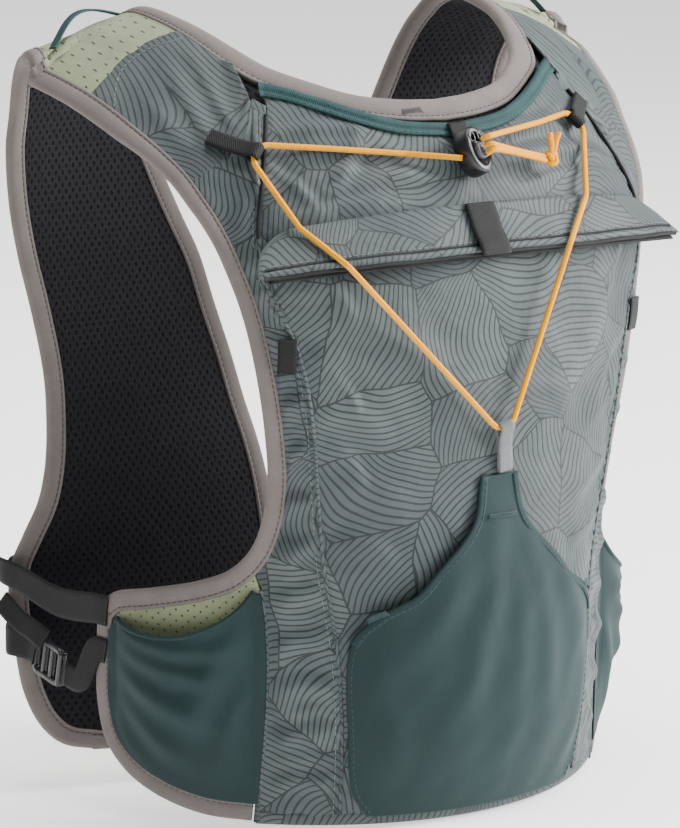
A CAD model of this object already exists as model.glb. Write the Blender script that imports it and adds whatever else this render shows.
# Dresses the fixed frame of a running hydration vest in cloth, webbing, cord and trim.
# Lengths in the tables are shares or millimetres; meshes are in metres.

import math

import bmesh
import bpy
import numpy as np
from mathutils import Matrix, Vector


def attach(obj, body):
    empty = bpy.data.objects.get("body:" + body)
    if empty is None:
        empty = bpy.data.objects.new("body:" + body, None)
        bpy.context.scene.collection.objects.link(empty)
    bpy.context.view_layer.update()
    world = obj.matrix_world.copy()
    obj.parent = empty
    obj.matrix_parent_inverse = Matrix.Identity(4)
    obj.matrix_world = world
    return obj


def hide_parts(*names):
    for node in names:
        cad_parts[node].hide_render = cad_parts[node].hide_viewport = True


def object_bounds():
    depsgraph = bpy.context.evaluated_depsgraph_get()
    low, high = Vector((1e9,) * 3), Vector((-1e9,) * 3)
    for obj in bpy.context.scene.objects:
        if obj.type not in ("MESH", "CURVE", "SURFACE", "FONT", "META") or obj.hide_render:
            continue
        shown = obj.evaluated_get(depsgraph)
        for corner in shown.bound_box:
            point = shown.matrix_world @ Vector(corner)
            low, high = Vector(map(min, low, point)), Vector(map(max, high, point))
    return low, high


bl_info = {
    "name": "Running hydration vest",
    "version": (1, 0, 0),
    "blender": (4, 5, 0),
    "location": "View3D > Sidebar > Vest",
    "description": "Builds the cloth, trim, cord and hardware of a running vest",
    "category": "Add Mesh",
}

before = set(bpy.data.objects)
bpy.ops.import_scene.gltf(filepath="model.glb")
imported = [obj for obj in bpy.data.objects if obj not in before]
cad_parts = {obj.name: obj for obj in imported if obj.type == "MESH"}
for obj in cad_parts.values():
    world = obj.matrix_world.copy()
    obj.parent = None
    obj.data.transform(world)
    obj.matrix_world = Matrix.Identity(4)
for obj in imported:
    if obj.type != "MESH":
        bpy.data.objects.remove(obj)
CAD_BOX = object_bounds()

VEST_LENGTH = 400.0
BACK_DEPTH = 140.0
HALF_WIDTH = 170.0
CLEARANCE = 0.35
LINING = 2.6
FABRIC = 1.2
LAYER_ROOM = 0.6
BINDING_WIDTH = 10.0
BINDING_LIP = 0.7
PACK_DEPTH = 12.5
STRETCH_BULGE = 6.0
WING_BULGE = 10.2
CORD = 2.8
TAPE = 1.2
FLAP_HALF_WIDTH = 128.0
FLAP_THICKNESS = 1.5
LOCK_WIDTH = 17.0
LOCK_LENGTH = 24.0
LOCK_THICKNESS = 10.0
SHELL_LOW = LINING + CLEARANCE
SHELL_HIGH = SHELL_LOW + FABRIC
BINDING_HIGH = SHELL_HIGH + BINDING_LIP
TUCK = 9.3
SIDES = ((-1, "left"), (1, "right"))

# The body surface: along, out, up, wide, deep
BODY = np.array([
    (-1.000, -0.950, -0.970, 0.865, 1.01),
    (-0.900, -0.964, -0.870, 0.865, 1.01),
    (-0.775, -0.979, -0.745, 0.865, 1.01),
    (-0.675, -0.986, -0.645, 0.865, 1.01),
    (-0.575, -0.993, -0.545, 0.870, 0.82),
    (-0.475, -0.996, -0.445, 0.882, 0.66),
    (-0.375, -0.979, -0.345, 0.900, 0.57),
    (-0.300, -0.946, -0.272, 0.940, 0.55),
    (-0.238, -0.900, -0.212, 1.010, 0.60),
    (-0.175, -0.821, -0.157, 1.120, 0.75),
    (-0.112, -0.700, -0.095, 1.265, 1.07),
    (-0.062, -0.536, -0.045, 1.530, 1.57),
    (-0.025, -0.271, 0.010, 1.820, 2.14),
    (0.000, 0.000, 0.030, 2.060, 2.50),
    (0.025, 0.136, 0.018, 2.060, 2.21),
    (0.075, 0.229, -0.020, 2.060, 1.64),
    (0.125, 0.271, -0.065, 2.060, 1.00),
    (0.188, 0.286, -0.125, 2.060, 0.54),
    (0.250, 0.286, -0.185, 2.060, 0.32),
    (0.312, 0.279, -0.248, 2.060, 0.18),
    (0.375, 0.264, -0.310, 2.060, 0.07),
    (0.438, 0.243, -0.372, 2.060, 0.00),
    (0.500, 0.214, -0.432, 2.060, -0.14),
    (0.562, 0.171, -0.492, 2.060, -0.64),
    (0.625, 0.107, -0.552, 2.060, -1.36),
    (0.688, 0.057, -0.612, 2.060, -1.93),
    (0.750, 0.021, -0.672, 2.060, -2.21),
    (0.812, 0.000, -0.735, 2.060, -2.29),
    (0.900, -0.007, -0.822, 2.060, -2.29),
    (1.000, -0.014, -0.922, 2.060, -2.29),
])
# Edges and seams of one half: across, along
ARMHOLE_EDGE = (
    (1.150, -0.728), (1.100, -0.711), (0.977, -0.699), (0.826, -0.683), (0.743, -0.667),
    (0.694, -0.641), (0.674, -0.602), (0.676, -0.552), (0.706, -0.488), (0.748, -0.413),
    (0.799, -0.334), (0.848, -0.266), (0.880, -0.193), (0.904, -0.134), (0.930, -0.075),
    (0.985, -0.028), (1.010, 0.008), (0.990, 0.062), (0.948, 0.120), (0.928, 0.178),
    (0.930, 0.226), (0.915, 0.290), (0.882, 0.362), (0.852, 0.414), (0.826, 0.474),
    (0.812, 0.537), (0.820, 0.593), (0.850, 0.652), (0.902, 0.696), (0.941, 0.732),
    (0.954, 0.785), (0.943, 0.840), (0.920, 0.902), (0.872, 0.948), (0.806, 0.974),
    (0.700, 0.985),
)
NECK_EDGE = (
    (0.000, -0.115), (0.120, -0.111), (0.248, -0.099), (0.368, -0.073), (0.460, -0.049),
    (0.520, -0.022), (0.540, 0.006), (0.536, 0.042), (0.506, 0.105), (0.436, 0.188),
    (0.355, 0.262), (0.282, 0.326), (0.228, 0.375), (0.187, 0.437), (0.147, 0.502),
    (0.121, 0.566), (0.105, 0.617), (0.094, 0.675), (0.094, 0.775), (0.104, 0.860),
    (0.136, 0.925), (0.210, 0.968), (0.340, 0.984), (0.500, 0.986),
)
WING_EDGE = (
    (1.166, -0.757), (1.168, -0.800), (1.164, -0.850), (1.130, -0.900), (1.065, -0.932),
    (0.972, -0.955), (0.816, -0.974), (0.668, -0.978),
)
YOKE_TOP = ((0.600, -0.024), (0.705, -0.022), (0.810, -0.028), (0.899, -0.046))
YOKE_BOTTOM = (
    (0.535, -0.062), (0.556, -0.086), (0.606, -0.116), (0.664, -0.136), (0.747, -0.150),
    (0.830, -0.160),
)
POCKET_SEAM = (
    (0.522, -0.094), (0.556, -0.118), (0.600, -0.150), (0.700, -0.235), (0.708, -0.300),
    (0.615, -0.389), (0.575, -0.449), (0.513, -0.596), (0.445, -0.757), (0.424, -0.870),
    (0.424, -0.978),
)
WING_SEAM = (
    (0.650, -0.690), (0.638, -0.730), (0.632, -0.820), (0.645, -0.930), (0.652, -0.978),
)
MOUTH = (
    (0.000, -0.152), (0.175, -0.142), (0.290, -0.124), (0.390, -0.102), (0.460, -0.084),
    (0.512, -0.073),
)
STRETCH_EDGE = (
    (0.058, -0.558), (0.082, -0.612), (0.195, -0.668), (0.250, -0.695), (0.342, -0.718),
    (0.410, -0.752), (0.412, -0.870), (0.392, -0.940), (0.350, -0.968),
)
# Standing height of the main pocket: along, middle, seam
PACK = np.array([
    (-0.980, 0.48, 0.40), (-0.940, 0.80, 0.50), (-0.850, 1.00, 0.66), (-0.700, 1.00, 0.74),
    (-0.500, 1.00, 0.76), (-0.300, 0.96, 0.72), (-0.200, 0.82, 0.58), (-0.120, 0.66, 0.56),
    (-0.060, 0.62, 0.56),
])


# Body surface


def column(rows, key, share):
    along = rows[:, 0]
    values = rows[:, key]
    last = len(rows) - 1
    share = np.clip(share, along[0], along[last])
    i = np.clip(np.searchsorted(along, share) - 1, 0, last - 1)
    before = np.maximum(i - 1, 0)
    after = np.minimum(i + 2, last)
    width = along[i + 1] - along[i]
    m0 = (values[i + 1] - values[before]) / (along[i + 1] - along[before]) * width
    m1 = (values[after] - values[i]) / (along[after] - along[i]) * width
    t = (share - along[i]) / width
    return (
        (2 * t**3 - 3 * t**2 + 1) * values[i]
        + (t**3 - 2 * t**2 + t) * m0
        + (3 * t**2 - 2 * t**3) * values[i + 1]
        + (t**3 - t**2) * m1
    )


def body_middle(s):
    share = s / VEST_LENGTH
    return column(BODY, 1, share) * BACK_DEPTH, column(BODY, 2, share) * VEST_LENGTH


def body_point(w, s):
    share = s / VEST_LENGTH
    wide = column(BODY, 3, share) * HALF_WIDTH
    deep = column(BODY, 4, share) * BACK_DEPTH
    y, z = body_middle(s)
    y0, z0 = body_middle(s - 0.5)
    y1, z1 = body_middle(s + 0.5)
    run = np.hypot(y1 - y0, z1 - z0)
    drop = deep * (1 - np.cos(w / wide))
    return np.stack(
        [wide * np.sin(w / wide), y + (z1 - z0) / run * drop, z - (y1 - y0) / run * drop], -1
    )


def outward(w, s):
    sideways = body_point(w + 0.5, s) - body_point(w - 0.5, s)
    lengthways = body_point(w, s + 0.5) - body_point(w, s - 0.5)
    normal = np.cross(sideways, lengthways)
    return normal / np.linalg.norm(normal, axis=-1, keepdims=True)


def place(w, s, height=0.0):
    w, s, height = np.broadcast_arrays(
        np.asarray(w, float), np.asarray(s, float), np.asarray(height, float)
    )
    return body_point(w, s) + outward(w, s) * height[..., None]


# Edges on the cloth


def centripetal(rows, steps=30):
    points = np.array(rows, float) * (HALF_WIDTH, VEST_LENGTH)
    ends = np.vstack([2 * points[0] - points[1], points, 2 * points[-1] - points[-2]])
    made = []
    for i in range(1, len(ends) - 2):
        p0, p1, p2, p3 = ends[i - 1 : i + 3]
        d0 = max(np.linalg.norm(p1 - p0) ** 0.5, 1e-4)
        d1 = max(np.linalg.norm(p2 - p1) ** 0.5, 1e-4)
        d2 = max(np.linalg.norm(p3 - p2) ** 0.5, 1e-4)
        m1 = ((p1 - p0) / d0 - (p2 - p0) / (d0 + d1) + (p2 - p1) / d1) * d1
        m2 = ((p2 - p1) / d1 - (p3 - p1) / (d1 + d2) + (p3 - p2) / d2) * d1
        t = np.linspace(0, 1, steps, endpoint=False)[:, None]
        made.append(
            (2 * t**3 - 3 * t**2 + 1) * p1
            + (t**3 - 2 * t**2 + t) * m1
            + (3 * t**2 - 2 * t**3) * p2
            + (t**3 - t**2) * m2
        )
    made.append(points[-1:])
    return np.vstack(made)


class Edge:
    """A smooth cloth edge with its length"""

    def __init__(self, rows):
        self.points = centripetal(rows)
        steps = np.linalg.norm(np.diff(self.points, axis=0), axis=1)
        self.run = np.concatenate([[0], np.cumsum(steps)])
        self.length = self.run[-1]
        self.tangents = np.gradient(self.points, axis=0)
        self.tangents /= np.linalg.norm(self.tangents, axis=1)[:, None]

    def at(self, share, distance=0.0):
        d = np.asarray(share) * self.length
        x = np.interp(d, self.run, self.points[:, 0])
        y = np.interp(d, self.run, self.points[:, 1])
        tx = np.interp(d, self.run, self.tangents[:, 0])
        ty = np.interp(d, self.run, self.tangents[:, 1])
        size = np.hypot(tx, ty)
        return np.stack([x - ty / size * distance, y + tx / size * distance], -1)

    def reach(self, along, low=0.0, high=1.0):
        shares = np.linspace(low, high, 801)
        return shares[np.argmin(np.abs(self.at(shares)[:, 1] - along * VEST_LENGTH))]

    def line(self, distance=0.0, low=0.0, high=1.0, step=2.0):
        count = max(2, int(abs(high - low) * self.length / step))
        return self.at(np.linspace(low, high, count + 1), distance)


ARM = Edge(ARMHOLE_EDGE)
ARM_WING = ARM.reach(-0.655, 0.05, 0.3)
ARM_YOKE_LOW = ARM.reach(-0.160, 0.2, 0.6)
ARM_YOKE_TOP = ARM.reach(-0.046, 0.2, 0.6)
NECK = Edge(NECK_EDGE)
NECK_LONG = Edge(NECK_EDGE + ((0.600, 0.9862), (0.712, 0.985)))
NECK_YOKE_LOW = NECK.reach(-0.036, 0, 0.3)
NECK_YOKE_TOP = NECK.reach(-0.016, 0, 0.3)
WING = Edge(WING_EDGE)
SEAM = Edge(POCKET_SEAM)
WING_SEAM_EDGE = Edge(WING_SEAM)
MOUTH_EDGE = Edge(MOUTH)
STRETCH = Edge(STRETCH_EDGE)
HEM = -0.978 * VEST_LENGTH


def shares(rows):
    return np.array(rows, float) * (HALF_WIDTH, VEST_LENGTH)


def resample(points, where):
    steps = np.linalg.norm(np.diff(points, axis=0), axis=1)
    run = np.concatenate([[0], np.cumsum(steps)])
    run /= run[-1]
    return np.stack([np.interp(where, run, points[:, k]) for k in range(points.shape[1])], -1)


def length_of(points):
    return np.linalg.norm(np.diff(points, axis=0), axis=1).sum()


# Heights of the cloth above the body surface


def smooth(x, low, high):
    t = np.clip((x - low) / (high - low), 0, 1)
    return t * t * (3 - 2 * t)


def seam_across(s):
    rows = np.array(POCKET_SEAM)
    return np.interp(-s / VEST_LENGTH, -rows[:, 1], rows[:, 0]) * HALF_WIDTH


def pack_height(w, s):
    share = s / VEST_LENGTH
    middle = column(PACK, 1, share) * PACK_DEPTH
    seam = column(PACK, 2, share) * PACK_DEPTH
    t = np.minimum(1, np.abs(w) / seam_across(s))
    return middle + (seam - middle) * t * t


def stretch_height(w, s):
    share = -s / VEST_LENGTH
    down = smooth(share, 0.56, 0.70)
    hemward = 1 - smooth(share, 0.86, 0.97)
    sideways = 1 - (np.abs(w) / (0.43 * HALF_WIDTH)) ** 4
    room = CLEARANCE + LAYER_ROOM + FABRIC
    return pack_height(w, s) + room + STRETCH_BULGE * np.maximum(0, down * hemward * sideways)


GUSSET_OUTER = np.vstack([
    ARM.line(10.7, ARM_YOKE_LOW, ARM_WING),
    WING_SEAM_EDGE.line(),
])


def gusset_height(w, s):
    start = seam_across(s)
    order = np.argsort(GUSSET_OUTER[:, 1])
    outer = np.interp(s, GUSSET_OUTER[order, 1], GUSSET_OUTER[order, 0])
    width = np.maximum(BINDING_WIDTH / 2, outer - start)
    t = np.clip((np.abs(w) - start) / width, 0, 1)
    base = pack_height(start, s)
    return base + (SHELL_HIGH + LAYER_ROOM - base) * t


def outer_height(w, s):
    return np.where(np.abs(w) <= seam_across(s), pack_height(w, s), gusset_height(w, s))


# Folds: each row is across, along, across, along, width, height
def creases(w, s, rows):
    total = np.zeros(np.broadcast(w, s).shape)
    for w0, s0, w1, s1, width, height in rows:
        a = np.array([w0 * HALF_WIDTH, s0 * VEST_LENGTH])
        b = np.array([w1 * HALF_WIDTH, s1 * VEST_LENGTH])
        run = b - a
        size = np.hypot(*run)
        run /= size
        along = ((w - a[0]) * run[0] + (s - a[1]) * run[1]) / size
        bow = 0.06 * size * np.sin(np.pi * np.clip(along, 0, 1))
        off = -(w - a[0]) * run[1] + (s - a[1]) * run[0] - bow
        fade = smooth(along, -0.12, 0.25) * (1 - smooth(along, 0.65, 1.12))
        ridge = np.exp(-((off / width) ** 2))
        valley = np.exp(-(((off - 1.7 * width) / (1.1 * width)) ** 2))
        total += height * fade * (ridge - 0.6 * valley)
    return total


def ripples(w, s, seed, size, stretch=1.0):
    chance = np.random.RandomState(seed)
    total = np.zeros(np.broadcast(w, s).shape)
    for _ in range(7):
        angle = chance.uniform(0, 2 * np.pi)
        wave = 2 * np.pi / (size * chance.uniform(0.6, 1.7))
        phase = chance.uniform(0, 2 * np.pi)
        total += np.sin(wave * (w * np.cos(angle) * stretch + s * np.sin(angle)) + phase)
    return total / 7


# Grids of cloth between two lines


def graded(length, step, low=True, high=True):
    inner = list(np.linspace(0, 1, max(3, int(round(length / step)) + 1)))
    fine = [d / length for d in (0.35, 0.8, 1.4)]
    kept = [
        t for t in inner
        if t in (0, 1) or ((t > 2.2 / length or not low) and (t < 1 - 2.2 / length or not high))
    ]
    extra = (fine if low else []) + ([1 - t for t in fine] if high else [])
    return np.array(sorted(set(kept + extra)))


def rounding(t, length, low, high):
    share = np.ones_like(t)
    for on, distance in ((low, t * length), (high, (1 - t) * length)):
        if on:
            x = np.clip(distance / 1.2, 0, 1)
            share = np.minimum(share, np.sqrt(1 - (1 - x) ** 2))
    return share


def cloth_grid(inner, outer, start=None, end=None, step=2.2, edges="iose"):
    """Places across and along, with the share of thickness at each: inner, outer, start, end"""
    tall = max(length_of(inner), length_of(outer))
    gap = np.linalg.norm(
        resample(inner, np.linspace(0, 1, 9)) - resample(outer, np.linspace(0, 1, 9)), axis=1
    )
    wide = gap.max()
    u = graded(wide, step, "i" in edges, "o" in edges)
    v = graded(tall, step, "s" in edges, "e" in edges)
    a = resample(inner, v)
    b = resample(outer, v)
    grid = a[:, None] * (1 - u)[None, :, None] + b[:, None] * u[None, :, None]
    if start is not None:
        first = resample(start, u) - grid[0]
        grid = grid + first[None] * (1 - v)[:, None, None]
    if end is not None:
        last = resample(end, u) - grid[-1]
        grid = grid + last[None] * v[:, None, None]
    share = np.minimum.outer(
        rounding(v, tall, "s" in edges, "e" in edges),
        rounding(u, wide, "i" in edges, "o" in edges),
    )
    return grid[..., 0], grid[..., 1], share, u, v


class Shell:
    """Gathers faces with their cloth lengths, and makes one closed piece of them"""

    def __init__(self):
        self.points = []
        self.faces = []
        self.lengths = []
        self.marks = []
        self.count = 0

    def add_grid(self, points, lengths, mark=0, flip=False, close_u=False):
        rows, cols = points.shape[:2]
        index = np.arange(rows * cols).reshape(rows, cols) + self.count
        a = index[:-1, :-1].ravel()
        b = index[:-1, 1:].ravel()
        c = index[1:, 1:].ravel()
        d = index[1:, :-1].ravel()
        faces = np.stack([a, b, c, d], 1)
        if close_u:
            faces = np.vstack([faces, np.stack([
                index[:-1, -1], index[:-1, 0], index[1:, 0], index[1:, -1]], 1)])
        if flip:
            faces = faces[:, ::-1]
        self.points.append(points.reshape(-1, 3))
        self.lengths.append(lengths.reshape(-1, 2))
        self.faces.extend(faces.tolist())
        self.marks.extend([mark] * len(faces))
        self.count += rows * cols
        return index

    def add_cap(self, ring, mark=0):
        self.faces.append([int(i) for i in ring])
        self.marks.append(mark)

    def add_cloth(self, w, s, share, low, high, side=1, inner_mark=0):
        middle = (low + high) / 2
        half = (high - low) / 2 * share
        low_face = place(w * side, s, middle - half)
        high_face = place(w * side, s, middle + half)
        across = np.diff(high_face, axis=1)[:-1]
        down = np.diff(high_face, axis=0)[:, :-1]
        out = outward(w * side, s)[:-1, :-1]
        flip = bool((np.cross(across, down) * out).sum() < 0)
        lengths = np.stack([w * side, s], -1)
        self.add_grid(high_face, lengths, 0, flip=flip)
        self.add_grid(low_face, lengths, inner_mark, flip=not flip)

    def finish(self, name, materials, slot=None, nodes=(), merge=1e-5, turn=False):
        points = np.vstack(self.points) / 1000
        lengths = np.vstack(self.lengths) / 1000
        mesh = bpy.data.meshes.new(name)
        mesh.from_pydata(points.tolist(), [], self.faces)
        layer = mesh.uv_layers.new(name="cloth")
        corner = np.zeros(len(mesh.loops), int)
        mesh.loops.foreach_get("vertex_index", corner)
        layer.data.foreach_set("uv", lengths[corner].astype(np.float32).ravel())
        mesh.polygons.foreach_set("material_index", self.marks)
        mesh.polygons.foreach_set("use_smooth", [True] * len(mesh.polygons))
        work = bmesh.new()
        work.from_mesh(mesh)
        if merge:
            bmesh.ops.remove_doubles(work, verts=work.verts, dist=merge)
        thin = [e for e in work.edges if e.calc_length() < 1e-7]
        if thin:
            bmesh.ops.dissolve_degenerate(work, dist=1e-7, edges=thin)
        if turn:
            bmesh.ops.recalc_face_normals(work, faces=work.faces)
        if work.calc_volume(signed=True) < 0:
            bmesh.ops.reverse_faces(work, faces=work.faces)
        work.to_mesh(mesh)
        work.free()
        for material in materials:
            mesh.materials.append(material)
        return piece(name, mesh, nodes)


def piece(name, data, nodes=()):
    made = bpy.data.objects.new(name, data)
    bpy.context.scene.collection.objects.link(made)
    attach(made, "root")
    if nodes:
        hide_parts(*nodes)
    return made


# Sections swept along lines on the cloth: each row of a section is distance and height


def trim(shell, lines, heights, mark=0, capped=True):
    """lines(distance) gives across and along; heights is a list of distance and height"""
    columns = []
    for distance, height in heights:
        at = lines(distance)
        h = height(at[:, 0], at[:, 1]) if callable(height) else height
        columns.append(place(at[:, 0], at[:, 1], h))
    grid = np.stack(columns, 1)
    middle = grid.mean(axis=1)
    run = np.concatenate([[0], np.cumsum(np.linalg.norm(np.diff(middle, axis=0), axis=1))])
    section = np.array([row[0] for row in heights])
    around = np.concatenate([[0], np.cumsum(np.hypot(
        np.diff(section), np.diff([0 if callable(h) else h for _, h in heights])))])
    lengths = np.stack(np.meshgrid(run, around, indexing="ij"), -1)
    index = shell.add_grid(grid, lengths, mark, close_u=True)
    if capped:
        shell.add_cap(index[0], mark)
        shell.add_cap(index[-1][::-1], mark)


LIP = (
    (10.0, 3.9), (9.95, 4.55), (9.6, 4.95), (9.0, 5.05), (8.45, 4.85), (8.1, 4.62),
    (7.7, 4.75), (7.0, 5.0), (5.6, 5.15), (4.0, 5.1), (2.6, 4.9), (1.5, 4.5), (0.7, 3.8),
    (0.2, 2.9), (0.0, 2.05), (0.2, 1.2), (0.7, 0.35), (1.5, -0.35), (2.6, -0.75), (4.0, -0.95),
    (5.6, -1.0), (7.0, -0.85), (7.7, -0.6), (8.1, -0.48), (8.45, -0.7), (9.0, -0.9),
    (9.6, -0.8), (9.95, -0.4), (10.0, 0.2), (9.6, 0.5), (9.5, 2.0), (9.6, 3.5),
)


def whole(edge, low=0.0, high=1.0, step=2.4):
    """Both halves of an edge as one line, from the left end over the middle to the right"""
    def lines(distance):
        half = edge.line(distance, low, high, step)
        return np.vstack([half[:0:-1] * (-1, 1), half])
    return lines


def one_side(edge, side, low=0.0, high=1.0, step=2.4):
    def lines(distance):
        return edge.line(distance, low, high, step) * (side, 1)
    return lines


# Tapes, tubes and rings


def smooth_path(points, step=1.5):
    """A smooth line through points, with even steps"""
    points = [np.array(p, float) for p in points]
    ends = [2 * points[0] - points[1], *points, 2 * points[-1] - points[-2]]
    made = []
    for i in range(1, len(ends) - 2):
        p0, p1, p2, p3 = ends[i - 1 : i + 3]
        d0, d1, d2 = (max(np.linalg.norm(b - a) ** 0.5, 1e-4)
                      for a, b in ((p0, p1), (p1, p2), (p2, p3)))
        m1 = ((p1 - p0) / d0 - (p2 - p0) / (d0 + d1) + (p2 - p1) / d1) * d1
        m2 = ((p2 - p1) / d1 - (p3 - p1) / (d1 + d2) + (p3 - p2) / d2) * d1
        t = np.linspace(0, 1, 16, endpoint=False)[:, None]
        made.append(
            (2 * t**3 - 3 * t**2 + 1) * p1 + (t**3 - 2 * t**2 + t) * m1
            + (3 * t**2 - 2 * t**3) * p2 + (t**3 - t**2) * m2
        )
    made.append(points[-1][None])
    line = np.vstack(made)
    count = max(2, int(length_of(line) / step))
    return resample(line, np.linspace(0, 1, count + 1))


def frames(path, up):
    tangents = np.gradient(path, axis=0)
    tangents /= np.linalg.norm(tangents, axis=1)[:, None]
    ups = []
    up = np.array(up, float)
    for tangent in tangents:
        up = up - tangent * (up @ tangent)
        up /= np.linalg.norm(up)
        ups.append(up.copy())
    ups = np.array(ups)
    return tangents, ups, np.cross(tangents, ups)


def round_tube(shell, path, diameter, sides=14, mark=0, taper=None, up=(0.31, 0.52, 0.79)):
    path = np.array(path, float)
    _, ups, rights = frames(path, up)
    angles = np.linspace(0, 2 * np.pi, sides + 1)
    radius = np.full(len(path), diameter / 2) if taper is None else taper * diameter / 2
    ring = (
        np.cos(angles)[None, :, None] * ups[:, None] + np.sin(angles)[None, :, None] * rights[:, None]
    )
    grid = path[:, None] + ring * radius[:, None, None]
    run = np.concatenate([[0], np.cumsum(np.linalg.norm(np.diff(path, axis=0), axis=1))])
    around = angles / (2 * np.pi) * np.pi * diameter
    lengths = np.stack(np.meshgrid(run, around, indexing="ij"), -1)
    index = shell.add_grid(grid, lengths, mark)
    shell.add_cap(index[0][:-1], mark)
    shell.add_cap(index[-1][:0:-1], mark)


def flat_tape(shell, path, across, width, thickness=TAPE, mark=0):
    """A woven tape with soft edges: across is one direction, or one for each point"""
    path = np.array(path, float)
    tangents = np.gradient(path, axis=0)
    tangents /= np.linalg.norm(tangents, axis=1)[:, None]
    across = np.broadcast_to(np.array(across, float), path.shape).copy()
    across -= tangents * (across * tangents).sum(-1, keepdims=True)
    across /= np.linalg.norm(across, axis=1)[:, None]
    up = np.cross(tangents, across)
    width = np.broadcast_to(np.array(width, float), (len(path),))
    t = thickness / 2
    section = []
    for k in range(9):
        x = -1 + 2 * k / 8
        section.append((x, 1.0 if 0 < k < 8 else 0.45))
    section += [(x, -y) for x, y in section[::-1]]
    columns = []
    for x, y in section:
        columns.append(path + across * (x * width / 2)[:, None] + up * (y * t))
    grid = np.stack(columns, 1)
    run = np.concatenate([[0], np.cumsum(np.linalg.norm(np.diff(path, axis=0), axis=1))])
    around = np.array([x for x, _ in section]) * width.mean() / 2
    lengths = np.stack(np.meshgrid(run, around, indexing="ij"), -1)
    index = shell.add_grid(grid, lengths, mark, close_u=True)
    shell.add_cap(index[0], mark)
    shell.add_cap(index[-1][::-1], mark)


def moulded_bar(shell, path, bar, thickness, facing, closed=False, mark=0):
    """A bar with rounded corners along a path, wide in the plane and thick across it"""
    path = np.array(path, float)
    if closed:
        tangents = np.roll(path, -1, axis=0) - np.roll(path, 1, axis=0)
    else:
        tangents = np.gradient(path, axis=0)
    tangents /= np.linalg.norm(tangents, axis=1)[:, None]
    facing = np.array(facing, float)
    facing /= np.linalg.norm(facing)
    sideways = np.cross(tangents, facing)
    sideways /= np.linalg.norm(sideways, axis=1)[:, None]
    columns = []
    for k in range(16):
        a = 2 * np.pi * (k + 0.5) / 16
        x = np.sign(np.cos(a)) * abs(np.cos(a)) ** 0.55 * bar / 2
        y = np.sign(np.sin(a)) * abs(np.sin(a)) ** 0.55 * thickness / 2
        columns.append(path + sideways * x + facing * y)
    grid = np.stack(columns, 1)
    if closed:
        grid = np.vstack([grid, grid[:1]])
    lengths = np.zeros(grid.shape[:2] + (2,))
    index = shell.add_grid(grid, lengths, mark, close_u=True)
    if not closed:
        shell.add_cap(index[0], mark)
        shell.add_cap(index[-1][::-1], mark)


def rounded_loop(centre, right, up, width, height, corner, steps=7):
    right = np.array(right, float) / np.linalg.norm(right)
    up = np.array(up, float)
    up = up - right * (up @ right)
    up /= np.linalg.norm(up)
    points = []
    for quarter, (x, y) in enumerate(((1, 1), (-1, 1), (-1, -1), (1, -1))):
        for k in range(steps):
            a = (quarter + k / (steps - 1)) * np.pi / 2
            points.append(
                centre + right * (x * (width / 2 - corner) + corner * np.cos(a))
                + up * (y * (height / 2 - corner) + corner * np.sin(a))
            )
    return np.array(points)


# Finishes: node groups


def linear(hex_colour):
    parts = [int(hex_colour[i : i + 2], 16) / 255 for i in (1, 3, 5)]
    return tuple(c / 12.92 if c <= 0.04045 else ((c + 0.055) / 1.055) ** 2.4 for c in parts) + (1,)


def add(tree, kind, values=None, **settings):
    made = tree.nodes.new(kind)
    for key, value in settings.items():
        setattr(made, key, value)
    for key, value in (values or {}).items():
        if isinstance(value, bpy.types.NodeSocket):
            tree.links.new(value, made.inputs[key])
        else:
            made.inputs[key].default_value = value
    return made


def calc(tree, operation, a, b=0.0, c=None):
    made = add(tree, "ShaderNodeMath", {0: a, 1: b}, operation=operation)
    if c is not None:
        if isinstance(c, bpy.types.NodeSocket):
            tree.links.new(c, made.inputs[2])
        else:
            made.inputs[2].default_value = c
    return made.outputs[0]


def vector(tree, operation, a, b=None):
    values = {0: a}
    if b is not None:
        values[1] = b
    made = add(tree, "ShaderNodeVectorMath", values, operation=operation)
    return made.outputs["Value" if operation in ("LENGTH", "DOT_PRODUCT") else "Vector"]


def stepped(tree, value, low, high, start=0.0, end=1.0):
    return add(
        tree, "ShaderNodeMapRange",
        {"Value": value, "From Min": low, "From Max": high, "To Min": start, "To Max": end},
        interpolation_type="SMOOTHSTEP",
    ).outputs[0]


def blend_colours(tree, share, a, b, mode="MIX"):
    made = tree.nodes.new("ShaderNodeMix")
    made.data_type = "RGBA"
    made.blend_type = mode
    for key, value in ((0, share), (6, a), (7, b)):
        if isinstance(value, bpy.types.NodeSocket):
            tree.links.new(value, made.inputs[key])
        else:
            made.inputs[key].default_value = value
    return made.outputs[2]


def shader_group(name, inputs, outputs):
    tree = bpy.data.node_groups.new(name, "ShaderNodeTree")
    for title, kind, value in inputs:
        socket = tree.interface.new_socket(title, in_out="INPUT", socket_type=kind)
        if value is not None:
            socket.default_value = value
    for title, kind in outputs:
        tree.interface.new_socket(title, in_out="OUTPUT", socket_type=kind)
    return tree, tree.nodes.new("NodeGroupInput"), tree.nodes.new("NodeGroupOutput")


FLOAT = "NodeSocketFloat"
VECTOR = "NodeSocketVector"
COLOUR = "NodeSocketColor"


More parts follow.
